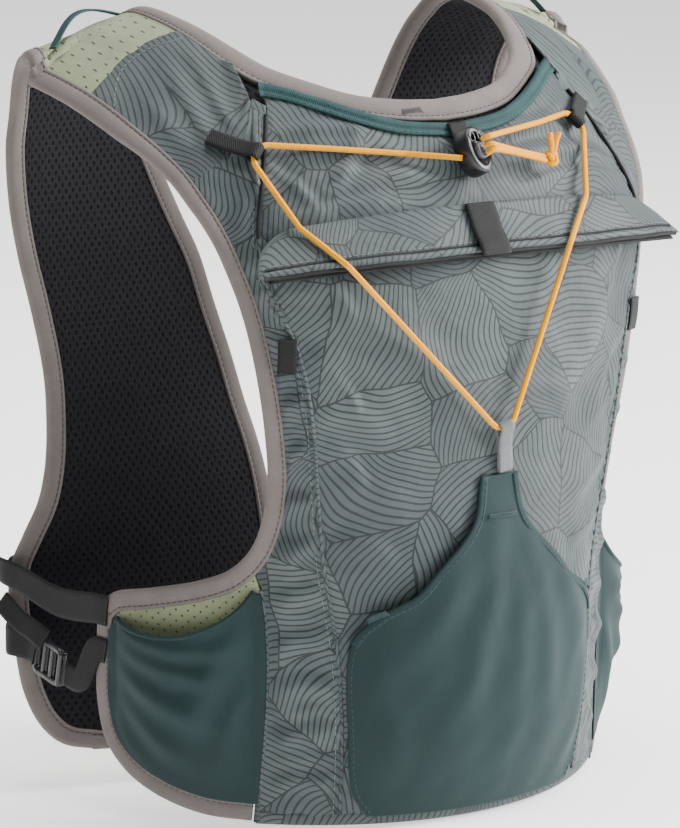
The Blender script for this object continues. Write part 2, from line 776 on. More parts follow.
def make_hole_group():
    tree, given, out = shader_group(
        "Punched holes",
        [("Place", VECTOR, None), ("Cell Width", FLOAT, 0.004), ("Cell Height", FLOAT, 0.005),
         ("Hole Width", FLOAT, 0.0015), ("Hole Height", FLOAT, 0.002), ("Softness", FLOAT, 0.2)],
        [("Holes", FLOAT), ("Rim", FLOAT)],
    )
    cell = add(tree, "ShaderNodeCombineXYZ",
               {0: given.outputs["Cell Width"], 1: given.outputs["Cell Height"], 2: 1.0}).outputs[0]
    hole = add(tree, "ShaderNodeCombineXYZ",
               {0: given.outputs["Hole Width"], 1: given.outputs["Hole Height"], 2: 1.0}).outputs[0]
    scaled = vector(tree, "DIVIDE", given.outputs["Place"], cell)
    ratio = vector(tree, "DIVIDE", cell, hole)
    flat = vector(tree, "MULTIPLY", ratio, (1, 1, 0))
    found = []
    for shift in ((0, 0, 0), (0.5, 0.5, 0)):
        moved = vector(tree, "ADD", scaled, shift)
        local = vector(tree, "SUBTRACT", vector(tree, "FRACTION", moved), (0.5, 0.5, 0))
        found.append(vector(tree, "LENGTH", vector(tree, "MULTIPLY", local, flat)))
    near = calc(tree, "MINIMUM", found[0], found[1])
    inner = calc(tree, "SUBTRACT", 0.5, given.outputs["Softness"])
    holes = stepped(tree, near, inner, 0.5, 1, 0)
    rim = stepped(tree, near, 0.5, 0.85, 1, 0)
    tree.links.new(holes, out.inputs["Holes"])
    tree.links.new(rim, out.inputs["Rim"])
    return tree


def make_weave_group():
    tree, given, out = shader_group(
        "Woven threads",
        [("Place", VECTOR, None), ("Across", FLOAT, 0.0006), ("Along", FLOAT, 0.0006)],
        [("Height", FLOAT), ("Shade", FLOAT)],
    )
    split = add(tree, "ShaderNodeSeparateXYZ", {0: given.outputs["Place"]})
    x = calc(tree, "DIVIDE", split.outputs[0], given.outputs["Across"])
    y = calc(tree, "DIVIDE", split.outputs[1], given.outputs["Along"])
    wave_x = calc(tree, "SINE", calc(tree, "MULTIPLY", x, 2 * math.pi))
    wave_y = calc(tree, "SINE", calc(tree, "MULTIPLY", y, 2 * math.pi))
    over = calc(tree, "MULTIPLY", wave_x, wave_y)
    height = calc(tree, "MULTIPLY_ADD", over, 0.5, 0.5)
    streak = add(tree, "ShaderNodeTexNoise", {
        "Vector": vector(tree, "MULTIPLY", given.outputs["Place"], (900, 90, 1)), "Scale": 1.0,
        "Detail": 2.0})
    shade = calc(tree, "MULTIPLY", streak.outputs[0], 1.0)
    tree.links.new(height, out.inputs["Height"])
    tree.links.new(shade, out.inputs["Shade"])
    return tree


def make_print_group():
    """Facets filled with bowed parallel lines, in tones of grey green"""
    tree, given, out = shader_group(
        "Lined facets",
        [("Place", VECTOR, None), ("Facet Size", FLOAT, 0.04), ("Line Gap", FLOAT, 0.0033),
         ("Line Width", FLOAT, 0.16), ("Light", COLOUR, (0.3, 0.35, 0.33, 1)),
         ("Deep", COLOUR, (0.15, 0.19, 0.19, 1)), ("Ink", COLOUR, (0.07, 0.09, 0.1, 1))],
        [("Color", COLOUR), ("Lines", FLOAT)],
    )
    wobble = add(tree, "ShaderNodeTexNoise", {
        "Vector": given.outputs["Place"], "Scale": 26.0, "Detail": 1.0})
    centred = vector(tree, "SUBTRACT", wobble.outputs["Color"], (0.5, 0.5, 0.5))
    push = vector(tree, "MULTIPLY", centred, (0.012, 0.012, 0))
    put = vector(tree, "ADD", given.outputs["Place"], push)
    scale = calc(tree, "DIVIDE", 1.0, given.outputs["Facet Size"])
    scaled = add(tree, "ShaderNodeVectorMath", {0: put, "Scale": scale}, operation="SCALE").outputs[0]
    cells = add(tree, "ShaderNodeTexVoronoi", {"Vector": scaled, "Scale": 1.0, "Randomness": 0.95},
                voronoi_dimensions="2D", feature="F1")
    walls = add(tree, "ShaderNodeTexVoronoi", {"Vector": scaled, "Scale": 1.0, "Randomness": 0.95},
                voronoi_dimensions="2D", feature="DISTANCE_TO_EDGE")
    chance = add(tree, "ShaderNodeSeparateColor", {0: cells.outputs["Color"]})
    local = vector(tree, "SUBTRACT", scaled, cells.outputs["Position"])
    turned = add(tree, "ShaderNodeVectorRotate", {
        "Vector": local, "Angle": calc(tree, "MULTIPLY", chance.outputs[0], 2 * math.pi)},
        rotation_type="Z_AXIS").outputs[0]
    axes = add(tree, "ShaderNodeSeparateXYZ", {0: turned})
    bow = calc(tree, "MULTIPLY_ADD", chance.outputs[2], 0.9, 0.15)
    bent = calc(tree, "MULTIPLY_ADD",
                calc(tree, "MULTIPLY", axes.outputs[0], axes.outputs[0]), bow, axes.outputs[1])
    size = calc(tree, "MULTIPLY", bent, given.outputs["Facet Size"])
    phase = calc(tree, "DIVIDE", size, given.outputs["Line Gap"])
    off = calc(tree, "ABSOLUTE", calc(tree, "SUBTRACT", calc(tree, "FRACT", phase), 0.5))
    half = calc(tree, "MULTIPLY", given.outputs["Line Width"], 0.5)
    soft = calc(tree, "MULTIPLY", given.outputs["Line Width"], 1.0)
    lines = add(tree, "ShaderNodeMapRange", {
        "Value": off, "From Min": half, "From Max": soft, "To Min": 1.0, "To Max": 0.0},
        interpolation_type="SMOOTHSTEP").outputs[0]
    wall = stepped(tree, walls.outputs["Distance"], 0.006, 0.014, 1, 0)
    ink = calc(tree, "MAXIMUM", lines, wall)
    grade = stepped(tree, axes.outputs[1], -0.6, 0.6)
    tone = calc(tree, "MULTIPLY_ADD", chance.outputs[1], 0.55, calc(tree, "MULTIPLY", grade, 0.45))
    ground = blend_colours(tree, tone, given.outputs["Light"], given.outputs["Deep"])
    made = blend_colours(tree, calc(tree, "MULTIPLY", ink, 0.8), ground, given.outputs["Ink"])
    tree.links.new(made, out.inputs["Color"])
    tree.links.new(ink, out.inputs["Lines"])
    return tree


def make_wear_group():
    """Slow change of tone over a surface, as rubbing and folding leave"""
    tree, given, out = shader_group(
        "Handled surface",
        [("Place", VECTOR, None), ("Size", FLOAT, 0.05), ("Color", COLOUR, (0.5, 0.5, 0.5, 1)),
         ("Amount", FLOAT, 0.15)],
        [("Color", COLOUR), ("Change", FLOAT)],
    )
    scale = calc(tree, "DIVIDE", 1.0, given.outputs["Size"])
    noise = add(tree, "ShaderNodeTexNoise", {
        "Vector": given.outputs["Place"], "Scale": scale, "Detail": 4.0, "Roughness": 0.6})
    change = stepped(tree, noise.outputs[0], 0.3, 0.7)
    light = calc(tree, "MULTIPLY_ADD", calc(tree, "SUBTRACT", change, 0.5),
                 calc(tree, "MULTIPLY", given.outputs["Amount"], 2.0), 1.0)
    shade = add(tree, "ShaderNodeCombineColor", {0: light, 1: light, 2: light}).outputs[0]
    made = blend_colours(tree, 1.0, given.outputs["Color"], shade, "MULTIPLY")
    tree.links.new(made, out.inputs["Color"])
    tree.links.new(change, out.inputs["Change"])
    return tree


GROUPS = {}


def group(name):
    makers = {
        "holes": make_hole_group, "weave": make_weave_group, "print": make_print_group,
        "wear": make_wear_group,
    }
    if name not in GROUPS:
        GROUPS[name] = makers[name]()
    return GROUPS[name]


def use(tree, name, values):
    made = tree.nodes.new("ShaderNodeGroup")
    made.node_tree = group(name)
    for key, value in values.items():
        if isinstance(value, bpy.types.NodeSocket):
            tree.links.new(value, made.inputs[key])
        else:
            made.inputs[key].default_value = value
    return made


# Finishes: materials


def blank(name, roughness, **shader_values):
    material = bpy.data.materials.new(name)
    material.use_nodes = True
    tree = material.node_tree
    shader = tree.nodes["Principled BSDF"]
    shader.inputs["Roughness"].default_value = roughness
    for key, value in shader_values.items():
        shader.inputs[key.replace("_", " ")].default_value = value
    return material, tree, shader


def cloth_place(tree):
    return add(tree, "ShaderNodeUVMap", uv_map="cloth").outputs[0]


def object_place(tree):
    return add(tree, "ShaderNodeTexCoord").outputs["Object"]


def bump(tree, shader, height, distance, strength=1.0, under=None):
    made = add(tree, "ShaderNodeBump", {
        "Height": height, "Distance": distance, "Strength": strength})
    if under is not None:
        tree.links.new(under, made.inputs["Normal"])
    tree.links.new(made.outputs[0], shader.inputs["Normal"])
    return made.outputs[0]


def paint(tree, shader, colour):
    tree.links.new(colour, shader.inputs["Base Color"])


def printed_fabric(settings, name="printed fabric", shift=(0, 0, 0), facet=0.042):
    material, tree, shader = blank(name, 0.62, Sheen_Weight=0.04, Specular_IOR_Level=0.3)
    place_at = vector(tree, "ADD", cloth_place(tree), shift)
    drawn = use(tree, "print", {
        "Place": place_at, "Facet Size": facet, "Line Gap": 0.0031, "Line Width": 0.19,
        "Light": tuple(settings.print_light) + (1,), "Deep": tuple(settings.print_deep) + (1,),
        "Ink": tuple(settings.print_ink) + (1,)})
    worn = use(tree, "wear", {
        "Place": object_place(tree), "Size": 0.09, "Color": drawn.outputs["Color"], "Amount": 0.07})
    woven = use(tree, "weave", {"Place": place_at, "Across": 0.00045, "Along": 0.00045})
    thread = blend_colours(
        tree, stepped(tree, woven.outputs["Height"], 0.1, 0.9, 0.0, 0.12),
        worn.outputs["Color"], (0.02, 0.025, 0.03, 1))
    paint(tree, shader, thread)
    cockle = add(tree, "ShaderNodeTexNoise", {
        "Vector": object_place(tree), "Scale": 95.0, "Detail": 3.0, "Roughness": 0.55})
    rough = add(tree, "ShaderNodeTexNoise", {"Vector": object_place(tree), "Scale": 30.0})
    tree.links.new(stepped(tree, rough.outputs[0], 0.3, 0.7, 0.5, 0.68), shader.inputs["Roughness"])
    slow = bump(tree, shader, cockle.outputs[0], 0.0016, 0.55)
    bump(tree, shader, woven.outputs["Height"], 0.00006, 0.7, slow)
    return material


def coated_fabric():
    material, tree, shader = blank("coated inner face", 0.35, Sheen_Weight=0.1)
    worn = use(tree, "wear", {
        "Place": object_place(tree), "Size": 0.03, "Color": linear("#7c8688"), "Amount": 0.25})
    paint(tree, shader, worn.outputs["Color"])
    noise = add(tree, "ShaderNodeTexNoise", {"Vector": object_place(tree), "Scale": 120.0})
    bump(tree, shader, noise.outputs[0], 0.0012, 0.7)
    return material


def spacer_mesh(settings):
    material, tree, shader = blank("spacer mesh", 0.82, Sheen_Weight=0.03, Specular_IOR_Level=0.12)
    place_at = cloth_place(tree)
    holes = use(tree, "holes", {
        "Place": place_at, "Cell Width": settings.mesh_cell_width,
        "Cell Height": settings.mesh_cell_height,
        "Hole Width": settings.mesh_cell_width * 0.52,
        "Hole Height": settings.mesh_cell_height * 0.46, "Softness": 0.22})
    woven = use(tree, "weave", {"Place": place_at, "Across": 0.00075, "Along": 0.0005})
    worn = use(tree, "wear", {
        "Place": object_place(tree), "Size": 0.05, "Color": tuple(settings.mesh_colour) + (1,),
        "Amount": 0.16})
    knit = blend_colours(
        tree, stepped(tree, woven.outputs["Height"], 0.1, 0.9, 0.0, 0.35),
        worn.outputs["Color"], (0.012, 0.012, 0.014, 1))
    lit = blend_colours(tree, calc(tree, "MULTIPLY", holes.outputs["Rim"], 0.35), knit,
                        tuple(c * 1.6 for c in settings.mesh_colour) + (1,))
    paint(tree, shader, blend_colours(tree, holes.outputs["Holes"], lit, (0.002, 0.002, 0.0025, 1)))
    deep = calc(tree, "SUBTRACT", 1.0, holes.outputs["Holes"])
    first = bump(tree, shader, deep, 0.0011, 1.0)
    bump(tree, shader, woven.outputs["Height"], 0.00015, 0.8, first)
    return material


def punched_fabric(settings):
    material, tree, shader = blank("punched green fabric", 0.72, Sheen_Weight=0.15)
    place_at = cloth_place(tree)
    holes = use(tree, "holes", {
        "Place": place_at, "Cell Width": 0.0062, "Cell Height": 0.0056, "Hole Width": 0.0011,
        "Hole Height": 0.0011, "Softness": 0.14})
    woven = use(tree, "weave", {"Place": place_at, "Across": 0.0005, "Along": 0.0005})
    worn = use(tree, "wear", {
        "Place": object_place(tree), "Size": 0.03, "Color": tuple(settings.green) + (1,),
        "Amount": 0.10})
    paint(tree, shader, blend_colours(
        tree, holes.outputs["Holes"], worn.outputs["Color"], (0.012, 0.014, 0.01, 1)))
    cockle = add(tree, "ShaderNodeTexNoise", {
        "Vector": object_place(tree), "Scale": 70.0, "Detail": 3.0})
    first = bump(tree, shader, cockle.outputs[0], 0.002, 0.5)
    second = bump(tree, shader, calc(tree, "SUBTRACT", 1.0, holes.outputs["Holes"]), 0.0005, 0.8, first)
    bump(tree, shader, woven.outputs["Height"], 0.00005, 0.6, second)
    return material


def stretch_fabric(settings):
    material, tree, shader = blank(
        "teal stretch fabric", 0.6, Sheen_Weight=0.06, Specular_IOR_Level=0.2)
    shader.inputs["Sheen Tint"].default_value = linear("#8fb5b5")
    place_at = cloth_place(tree)
    woven = use(tree, "weave", {"Place": place_at, "Across": 0.0004, "Along": 0.0006})
    worn = use(tree, "wear", {
        "Place": object_place(tree), "Size": 0.06, "Color": tuple(settings.teal) + (1,), "Amount": 0.08})
    streak = blend_colours(
        tree, stepped(tree, woven.outputs["Shade"], 0.35, 0.7, 0.0, 0.22),
        worn.outputs["Color"], tuple(c * 0.55 for c in settings.teal) + (1,))
    paint(tree, shader, streak)
    grain = add(tree, "ShaderNodeTexNoise", {
        "Vector": object_place(tree), "Scale": 55.0, "Detail": 2.0})
    first = bump(tree, shader, grain.outputs[0], 0.001, 0.35)
    bump(tree, shader, woven.outputs["Height"], 0.00007, 0.8, first)
    return material


def binding_cloth(settings):
    material, tree, shader = blank("binding cloth", 0.85, Sheen_Weight=0.15, Specular_IOR_Level=0.2)
    shader.inputs["Sheen Tint"].default_value = linear("#d8cfc9")
    worn = use(tree, "wear", {
        "Place": object_place(tree), "Size": 0.02, "Color": tuple(settings.binding) + (1,),
        "Amount": 0.08})
    nap = add(tree, "ShaderNodeTexNoise", {
        "Vector": object_place(tree), "Scale": 1500.0, "Detail": 2.0, "Roughness": 0.7})
    flecks = blend_colours(
        tree, stepped(tree, nap.outputs[0], 0.35, 0.7, 0.0, 0.28), worn.outputs["Color"],
        tuple(c * 0.55 for c in settings.binding) + (1,))
    paint(tree, shader, flecks)
    first = bump(tree, shader, nap.outputs[0], 0.00018, 0.7)
    pull = add(tree, "ShaderNodeTexNoise", {"Vector": object_place(tree), "Scale": 140.0})
    bump(tree, shader, pull.outputs[0], 0.0005, 0.5, first)
    return material


def webbing_cloth(name="black webbing", colour="#0a0a0d", pitch=0.0011):
    material, tree, shader = blank(
        name, 0.62, Sheen_Weight=0.03, Sheen_Roughness=0.4, Specular_IOR_Level=0.25)
    place_at = cloth_place(tree)
    woven = use(tree, "weave", {"Place": place_at, "Across": pitch, "Along": pitch * 1.9})
    worn = use(tree, "wear", {
        "Place": object_place(tree), "Size": 0.01, "Color": linear(colour), "Amount": 0.2})
    base = tuple(c * 0.3 for c in linear(colour)[:3]) + (1,)
    paint(tree, shader, blend_colours(
        tree, stepped(tree, woven.outputs["Height"], 0.0, 1.0, 0.75, 0.0), worn.outputs["Color"], base))
    bump(tree, shader, woven.outputs["Height"], 0.0003, 0.9)
    return material


def moulded_plastic(name, colour, roughness):
    material, tree, shader = blank(name, roughness)
    worn = use(tree, "wear", {
        "Place": object_place(tree), "Size": 0.008, "Color": linear(colour), "Amount": 0.12})
    paint(tree, shader, worn.outputs["Color"])
    grain = add(tree, "ShaderNodeTexNoise", {
        "Vector": object_place(tree), "Scale": 900.0, "Detail": 3.0})
    tree.links.new(
        stepped(tree, worn.outputs["Change"], 0.0, 1.0, roughness - 0.06, roughness + 0.1),
        shader.inputs["Roughness"])
    bump(tree, shader, grain.outputs[0], 0.00008, 0.5)
    return material


def braided_cord(settings):
    material, tree, shader = blank("braided cord", 0.55, Specular_IOR_Level=0.2)
    place_at = cloth_place(tree)
    split = add(tree, "ShaderNodeSeparateXYZ", {0: place_at})
    along = calc(tree, "DIVIDE", split.outputs[0], 0.0026)
    around = calc(tree, "DIVIDE", split.outputs[1], math.pi * CORD / 1000 / 4)
    left = calc(tree, "SINE", calc(tree, "MULTIPLY", calc(tree, "ADD", along, around), 2 * math.pi))
    right = calc(
        tree, "SINE", calc(tree, "MULTIPLY", calc(tree, "SUBTRACT", along, around), 2 * math.pi))
    plait = calc(tree, "MULTIPLY_ADD", calc(tree, "MULTIPLY", left, right), 0.5, 0.5)
    worn = use(tree, "wear", {
        "Place": object_place(tree), "Size": 0.02, "Color": tuple(settings.cord_colour) + (1,),
        "Amount": 0.07})
    deep = (settings.cord_colour[0] * 0.72, settings.cord_colour[1] * 0.5,
            settings.cord_colour[2] * 0.35, 1)
    paint(tree, shader, blend_colours(
        tree, stepped(tree, plait, 0.0, 0.75, 0.6, 0.0), worn.outputs["Color"], deep))
    bump(tree, shader, plait, 0.00022, 0.8)
    return material


def sewing_thread(name, colour):
    material, tree, shader = blank(name, 0.55)
    worn = use(tree, "wear", {
        "Place": object_place(tree), "Size": 0.004, "Color": linear(colour), "Amount": 0.3})
    paint(tree, shader, worn.outputs["Color"])
    twist = add(tree, "ShaderNodeTexNoise", {"Vector": object_place(tree), "Scale": 2500.0})
    bump(tree, shader, twist.outputs[0], 0.0001, 0.6)
    return material


def floor_finish():
    material, tree, shader = blank("pale floor", 0.9)
    worn = use(tree, "wear", {
        "Place": object_place(tree), "Size": 1.5, "Color": linear("#fafaf9"), "Amount": 0.01})
    paint(tree, shader, worn.outputs["Color"])
    tree.links.new(worn.outputs["Color"], shader.inputs["Emission Color"])
    shader.inputs["Emission Strength"].default_value = 0.9
    return material


FINISHES = {}


def finish_of(name):
    settings = bpy.context.scene.vest_colours
    makers = {
        "print": lambda: printed_fabric(settings),
        "print gusset": lambda: printed_fabric(
            settings, "printed fabric of the gussets", (0.31, 0.17, 0), 0.040),
        "print yoke": lambda: printed_fabric(
            settings, "printed fabric of the yoke", (0.73, 0.41, 0), 0.038),
        "print flap": lambda: printed_fabric(
            settings, "printed fabric of the flap", (0.11, 0.83, 0), 0.040),
        "coated": lambda: coated_fabric(),
        "mesh": lambda: spacer_mesh(settings),
        "green": lambda: punched_fabric(settings),
        "teal": lambda: stretch_fabric(settings),
        "binding": lambda: binding_cloth(settings),
        "webbing": lambda: webbing_cloth(),
        "grey webbing": lambda: webbing_cloth("grey webbing", "#77797b", 0.0008),
        "teal tape": lambda: webbing_cloth("teal tape", "#1d4446", 0.0009),
        "black plastic": lambda: moulded_plastic("black plastic", "#141518", 0.3),
        "grey plastic": lambda: moulded_plastic("grey plastic", "#4c4d51", 0.38),
        "cord": lambda: braided_cord(settings),
        "binding thread": lambda: sewing_thread("binding thread", "#2e2a2a"),
        "teal thread": lambda: sewing_thread("teal thread", "#20393b"),
        "grey thread": lambda: sewing_thread("grey thread", "#5e6a6c"),
    }
    if name not in FINISHES:
        FINISHES[name] = makers[name]()
    return FINISHES[name]


# Stitches along lines, made by geometry nodes


def make_stitch_tree():
    tree = bpy.data.node_groups.new("Row of stitches", "GeometryNodeTree")
    face = tree.interface
    face.new_socket("Geometry", in_out="INPUT", socket_type="NodeSocketGeometry")
    for title, value in (("Pitch", 0.003), ("Stitch Length", 0.002), ("Thread", 0.0005)):
        socket = face.new_socket(title, in_out="INPUT", socket_type="NodeSocketFloat")
        socket.default_value = value
        socket.subtype = "DISTANCE"
    face.new_socket("Finish", in_out="INPUT", socket_type="NodeSocketMaterial")
    face.new_socket("Geometry", in_out="OUTPUT", socket_type="NodeSocketGeometry")
    given = tree.nodes.new("NodeGroupInput")
    out = tree.nodes.new("NodeGroupOutput")
    lines = add(tree, "GeometryNodeMeshToCurve", {0: given.outputs["Geometry"]})
    even = add(tree, "GeometryNodeResampleCurve", {
        "Curve": lines.outputs[0], "Length": given.outputs["Pitch"]}, mode="LENGTH")
    stitch = add(tree, "GeometryNodeMeshUVSphere", {"Segments": 6, "Rings": 4, "Radius": 0.5})
    size = add(tree, "ShaderNodeCombineXYZ", {
        0: given.outputs["Thread"], 1: given.outputs["Thread"], 2: given.outputs["Stitch Length"]})
    shaped = add(tree, "GeometryNodeTransform", {
        "Geometry": stitch.outputs[0], "Scale": size.outputs[0]})
    tangent = tree.nodes.new("GeometryNodeInputTangent")
    turn = add(tree, "FunctionNodeAlignRotationToVector", {"Vector": tangent.outputs[0]}, axis="Z")
    put = add(tree, "GeometryNodeInstanceOnPoints", {
        "Points": even.outputs[0], "Instance": shaped.outputs[0], "Rotation": turn.outputs[0]})
    real = add(tree, "GeometryNodeRealizeInstances", {0: put.outputs[0]})
    done = add(tree, "GeometryNodeSetMaterial", {
        "Geometry": real.outputs[0], "Material": given.outputs["Finish"]})
    tree.links.new(done.outputs[0], out.inputs[0])
    return tree


def sew(name, lines, finish, pitch=3.2, stitch=2.4, thread=0.55):
    """Stitches along lines of points in millimetres"""
    tree = bpy.data.node_groups.get("Row of stitches") or make_stitch_tree()
    points = []
    edges = []
    for line in lines:
        start = len(points)
        points.extend((np.array(line, float) / 1000).tolist())
        edges.extend((start + i, start + i + 1) for i in range(len(line) - 1))
    guide_mesh = bpy.data.meshes.new(name + "_guide")
    guide_mesh.from_pydata(points, edges, [])
    guide = bpy.data.objects.new(name + "_guide", guide_mesh)
    bpy.context.scene.collection.objects.link(guide)
    modifier = guide.modifiers.new("stitches", "NODES")
    modifier.node_group = tree
    sockets = {
        item.name: item.identifier for item in tree.interface.items_tree
        if item.item_type == "SOCKET" and item.in_out == "INPUT"
    }
    modifier[sockets["Pitch"]] = pitch / 1000
    modifier[sockets["Stitch Length"]] = stitch / 1000
    modifier[sockets["Thread"]] = thread / 1000
    modifier[sockets["Finish"]] = finish_of(finish)
    bpy.context.view_layer.update()
    view = bpy.context.evaluated_depsgraph_get()
    mesh = bpy.data.meshes.new_from_object(guide.evaluated_get(view))
    if not mesh.polygons:
        raise RuntimeError(f"no stitches were made for {name}")
    mesh.name = name
    mesh.polygons.foreach_set("use_smooth", [True] * len(mesh.polygons))
    guide.modifiers.clear()
    bpy.data.objects.remove(guide)
    return piece(name, mesh)


def on_surface(points, height):
    """Lines of across and along put at a height above the body surface"""
    h = height(points[:, 0], points[:, 1]) if callable(height) else height
    return place(points[:, 0], points[:, 1], h)


# Places for the flap, the cord and its lock


def flap_point(u, v):
    u, v = np.broadcast_arrays(np.asarray(u, float), np.asarray(v, float))
    w = u * 0.715 * HALF_WIDTH
    s = np.full_like(w, -0.245 * VEST_LENGTH)
    upper = place(w, s, outer_height(w, s) + CLEARANCE + FLAP_THICKNESS)
    lower = np.stack([
        u * FLAP_HALF_WIDTH,
        (0.129 * u * u - 1.079) * BACK_DEPTH,
        (-0.010 * u * u - 0.261) * VEST_LENGTH,
    ], -1)
    return upper + (lower - upper) * v[..., None]


def over_flap(u, v, height):
    u, v, height = np.broadcast_arrays(
        np.asarray(u, float), np.asarray(v, float), np.asarray(height, float))
    across = flap_point(u + 0.02, v) - flap_point(u - 0.02, v)
    down = flap_point(u, v + 0.02) - flap_point(u, v - 0.02)
    normal = np.cross(down, across)
    normal /= np.linalg.norm(normal, axis=-1, keepdims=True)
    return flap_point(u, v) + normal * height[..., None]


def flap_bend(u, v):
    """How far the loose flap waves in and out, which grows towards its lower edge"""
    return (0.5 * np.sin(u * 9.0 + 0.8) + 0.35 * np.sin(u * 23.0)) * v * 0.9


def on_cloth(across, along, lift):
    w = np.array(across * HALF_WIDTH)
    s = np.array(along * VEST_LENGTH)
    return place(w, s, outer_height(w, s) + lift)


def unit(v):
    v = np.array(v, float)
    return v / np.linalg.norm(v)


def arc(before, corner, after, radius, step=0.12):
    a = before - corner
    b = after - corner
    room = min(np.linalg.norm(a), np.linalg.norm(b)) * 0.48
    a = unit(a)
    b = unit(b)
    half = math.acos(max(-1, min(1, float(a @ b)))) / 2
    r = min(radius, room * math.tan(half))
    towards = unit(a + b)
    along = unit(b - a)
    centre = corner + towards * r / math.sin(half)
    sweep = math.pi / 2 - half
    angles = sweep * np.linspace(-1, 1, max(3, int(math.ceil(sweep * 2 / step))) + 1)
    points = (
        centre - towards * (r * np.cos(angles))[:, None] + along * (r * np.sin(angles))[:, None]
    )
    return points, centre - towards * r, along


def rounded(route, radius, step=1.6):
    """A route with its corners rounded and even points along its straight parts"""
    line = [route[0][None]]
    for i in range(1, len(route) - 1):
        line.append(arc(route[i - 1], route[i], route[i + 1], radius)[0])
    line.append(route[-1][None])
    line = np.vstack(line)
    made = [line[:1]]
    for a, b in zip(line, line[1:]):
        count = max(1, int(np.linalg.norm(b - a) / step))
        made.append(a + (b - a) * (np.arange(1, count + 1) / count)[:, None])
    return np.vstack(made)


LOCK = on_cloth(-0.02, -0.192, LOCK_THICKNESS / 2 + TAPE + FABRIC + 7 * CLEARANCE)
LOCK_FACE = unit((0.25, -0.87, 0.43))
LOCK_SIDE = unit(np.cross((0, 0, 1), LOCK_FACE))
LOCK_UP = np.cross(LOCK_FACE, LOCK_SIDE)
CORD_LIFT = CORD / 2 + 3 * CLEARANCE
LOOP_LIFT = CORD / 2 + 8 * CLEARANCE + 2 * TAPE
LOCK_FRONT = LOCK + LOCK_FACE * (LOCK_THICKNESS / 2 + 3)
STRAND = CORD + 2 * CLEARANCE
KNOT = np.array([0.27 * HALF_WIDTH, -0.96 * BACK_DEPTH, -0.165 * VEST_LENGTH])
BEND = 8.0


def cord_route():
    lift = FLAP_THICKNESS / 2 + CORD / 2 + 5 * CLEARANCE
    end = LOCK_FRONT + LOCK_UP * STRAND
    return [
        LOCK - LOCK_SIDE * (LOCK_WIDTH / 2 + 1) - LOCK_UP * 2,
        on_cloth(-0.20, -0.178, CORD_LIFT),
        on_cloth(-0.40, -0.160, CORD_LIFT),
        on_cloth(-0.665, -0.135, LOOP_LIFT),
        over_flap(-0.82, 0.1, lift),
        over_flap(-0.66, 1.06, lift),
        on_cloth(0.0, -0.515, LOOP_LIFT),
        over_flap(0.33, 1.06, lift),
        over_flap(0.52, 0.1, lift),
        on_cloth(0.505, -0.138, LOOP_LIFT),
        on_cloth(0.30, -0.155, CORD_LIFT + 1),
        end + LOCK_FACE * 4,
        end,
    ]


def spot(side, across, along, height):
    w = np.array(side * across * HALF_WIDTH)
    s = np.array(along * VEST_LENGTH)
    at = place(w, s, height)
    out = unit(place(w, s, height + 1) - at)
    down = unit(place(w, s - 1, height) - place(w, s + 1, height))
    return at, down, np.cross(down, out)


# What a user may change


def tone(name, description, hex_colour):
    return bpy.props.FloatVectorProperty(
        name=name, description=description, subtype="COLOR", size=3, min=0.0, max=1.0,
        default=linear(hex_colour)[:3],
    )


class VestColours(bpy.types.PropertyGroup):
    """Colours of the cloth and cord"""

    print_light: tone("Print, light facets", "Ground of the lighter facets of the print", "#4f5858")
    print_deep: tone("Print, deep facets", "Ground of the darker facets of the print", "#3a4346")
    print_ink: tone("Print, lines", "Lines of the print", "#06090b")
    green: tone("Punched green fabric", "Shoulders and wings", "#7a8362")
    teal: tone("Teal fabric", "Stretch pocket and wing pockets", "#162a2b")
    binding: tone("Binding", "Cloth that binds every edge", "#6a6360")
    mesh_colour: tone("Spacer mesh", "Knitted mesh against the body", "#19181d")
    cord_colour: tone("Cord", "Elastic cord", "#e39c00")
    mesh_cell_width: bpy.props.FloatProperty(
        name="Mesh cell width", description="Spacing of the mesh holes across", subtype="DISTANCE",
        unit="LENGTH", default=0.0044, min=0.001, max=0.02)
    mesh_cell_height: bpy.props.FloatProperty(
        name="Mesh cell height", description="Spacing of the mesh holes along", subtype="DISTANCE",
        unit="LENGTH", default=0.0061, min=0.001, max=0.02)


class VestSizes(bpy.types.PropertyGroup):
    """Sizes of the cloth's detail"""

    cloth_step: bpy.props.FloatProperty(
        name="Cloth step", description="Spacing of the points of the cloth", subtype="DISTANCE",
        unit="LENGTH", default=0.0019, min=0.001, max=0.01)
    fold_height: bpy.props.FloatProperty(
        name="Fold height", description="Multiplies the height of every fold", default=1.25,
        min=0.0, max=3.0)
    stitch_pitch: bpy.props.FloatProperty(
        name="Stitch pitch", description="From one stitch to the next", subtype="DISTANCE",
        unit="LENGTH", default=0.0031, min=0.001, max=0.01)
    stitch_length: bpy.props.FloatProperty(
        name="Stitch length", description="Length of one stitch", subtype="DISTANCE",
        unit="LENGTH", default=0.0024, min=0.0005, max=0.01)
    lens: bpy.props.FloatProperty(
        name="Lens", description="Focal length of the camera in millimetres", default=208.7,
        min=20.0, max=400.0)
    light: bpy.props.FloatProperty(
        name="Light", description="Multiplies the power of every lamp", default=1.0, min=0.0, max=4.0)


class VestOperator(bpy.types.Operator):
    """A step in making the vest"""

    bl_options = {"REGISTER", "UNDO"}

    def execute(self, context):
        self.make(context.scene.vest_sizes)
        return {"FINISHED"}


def step_of(sizes):
    return sizes.cloth_step * 1000


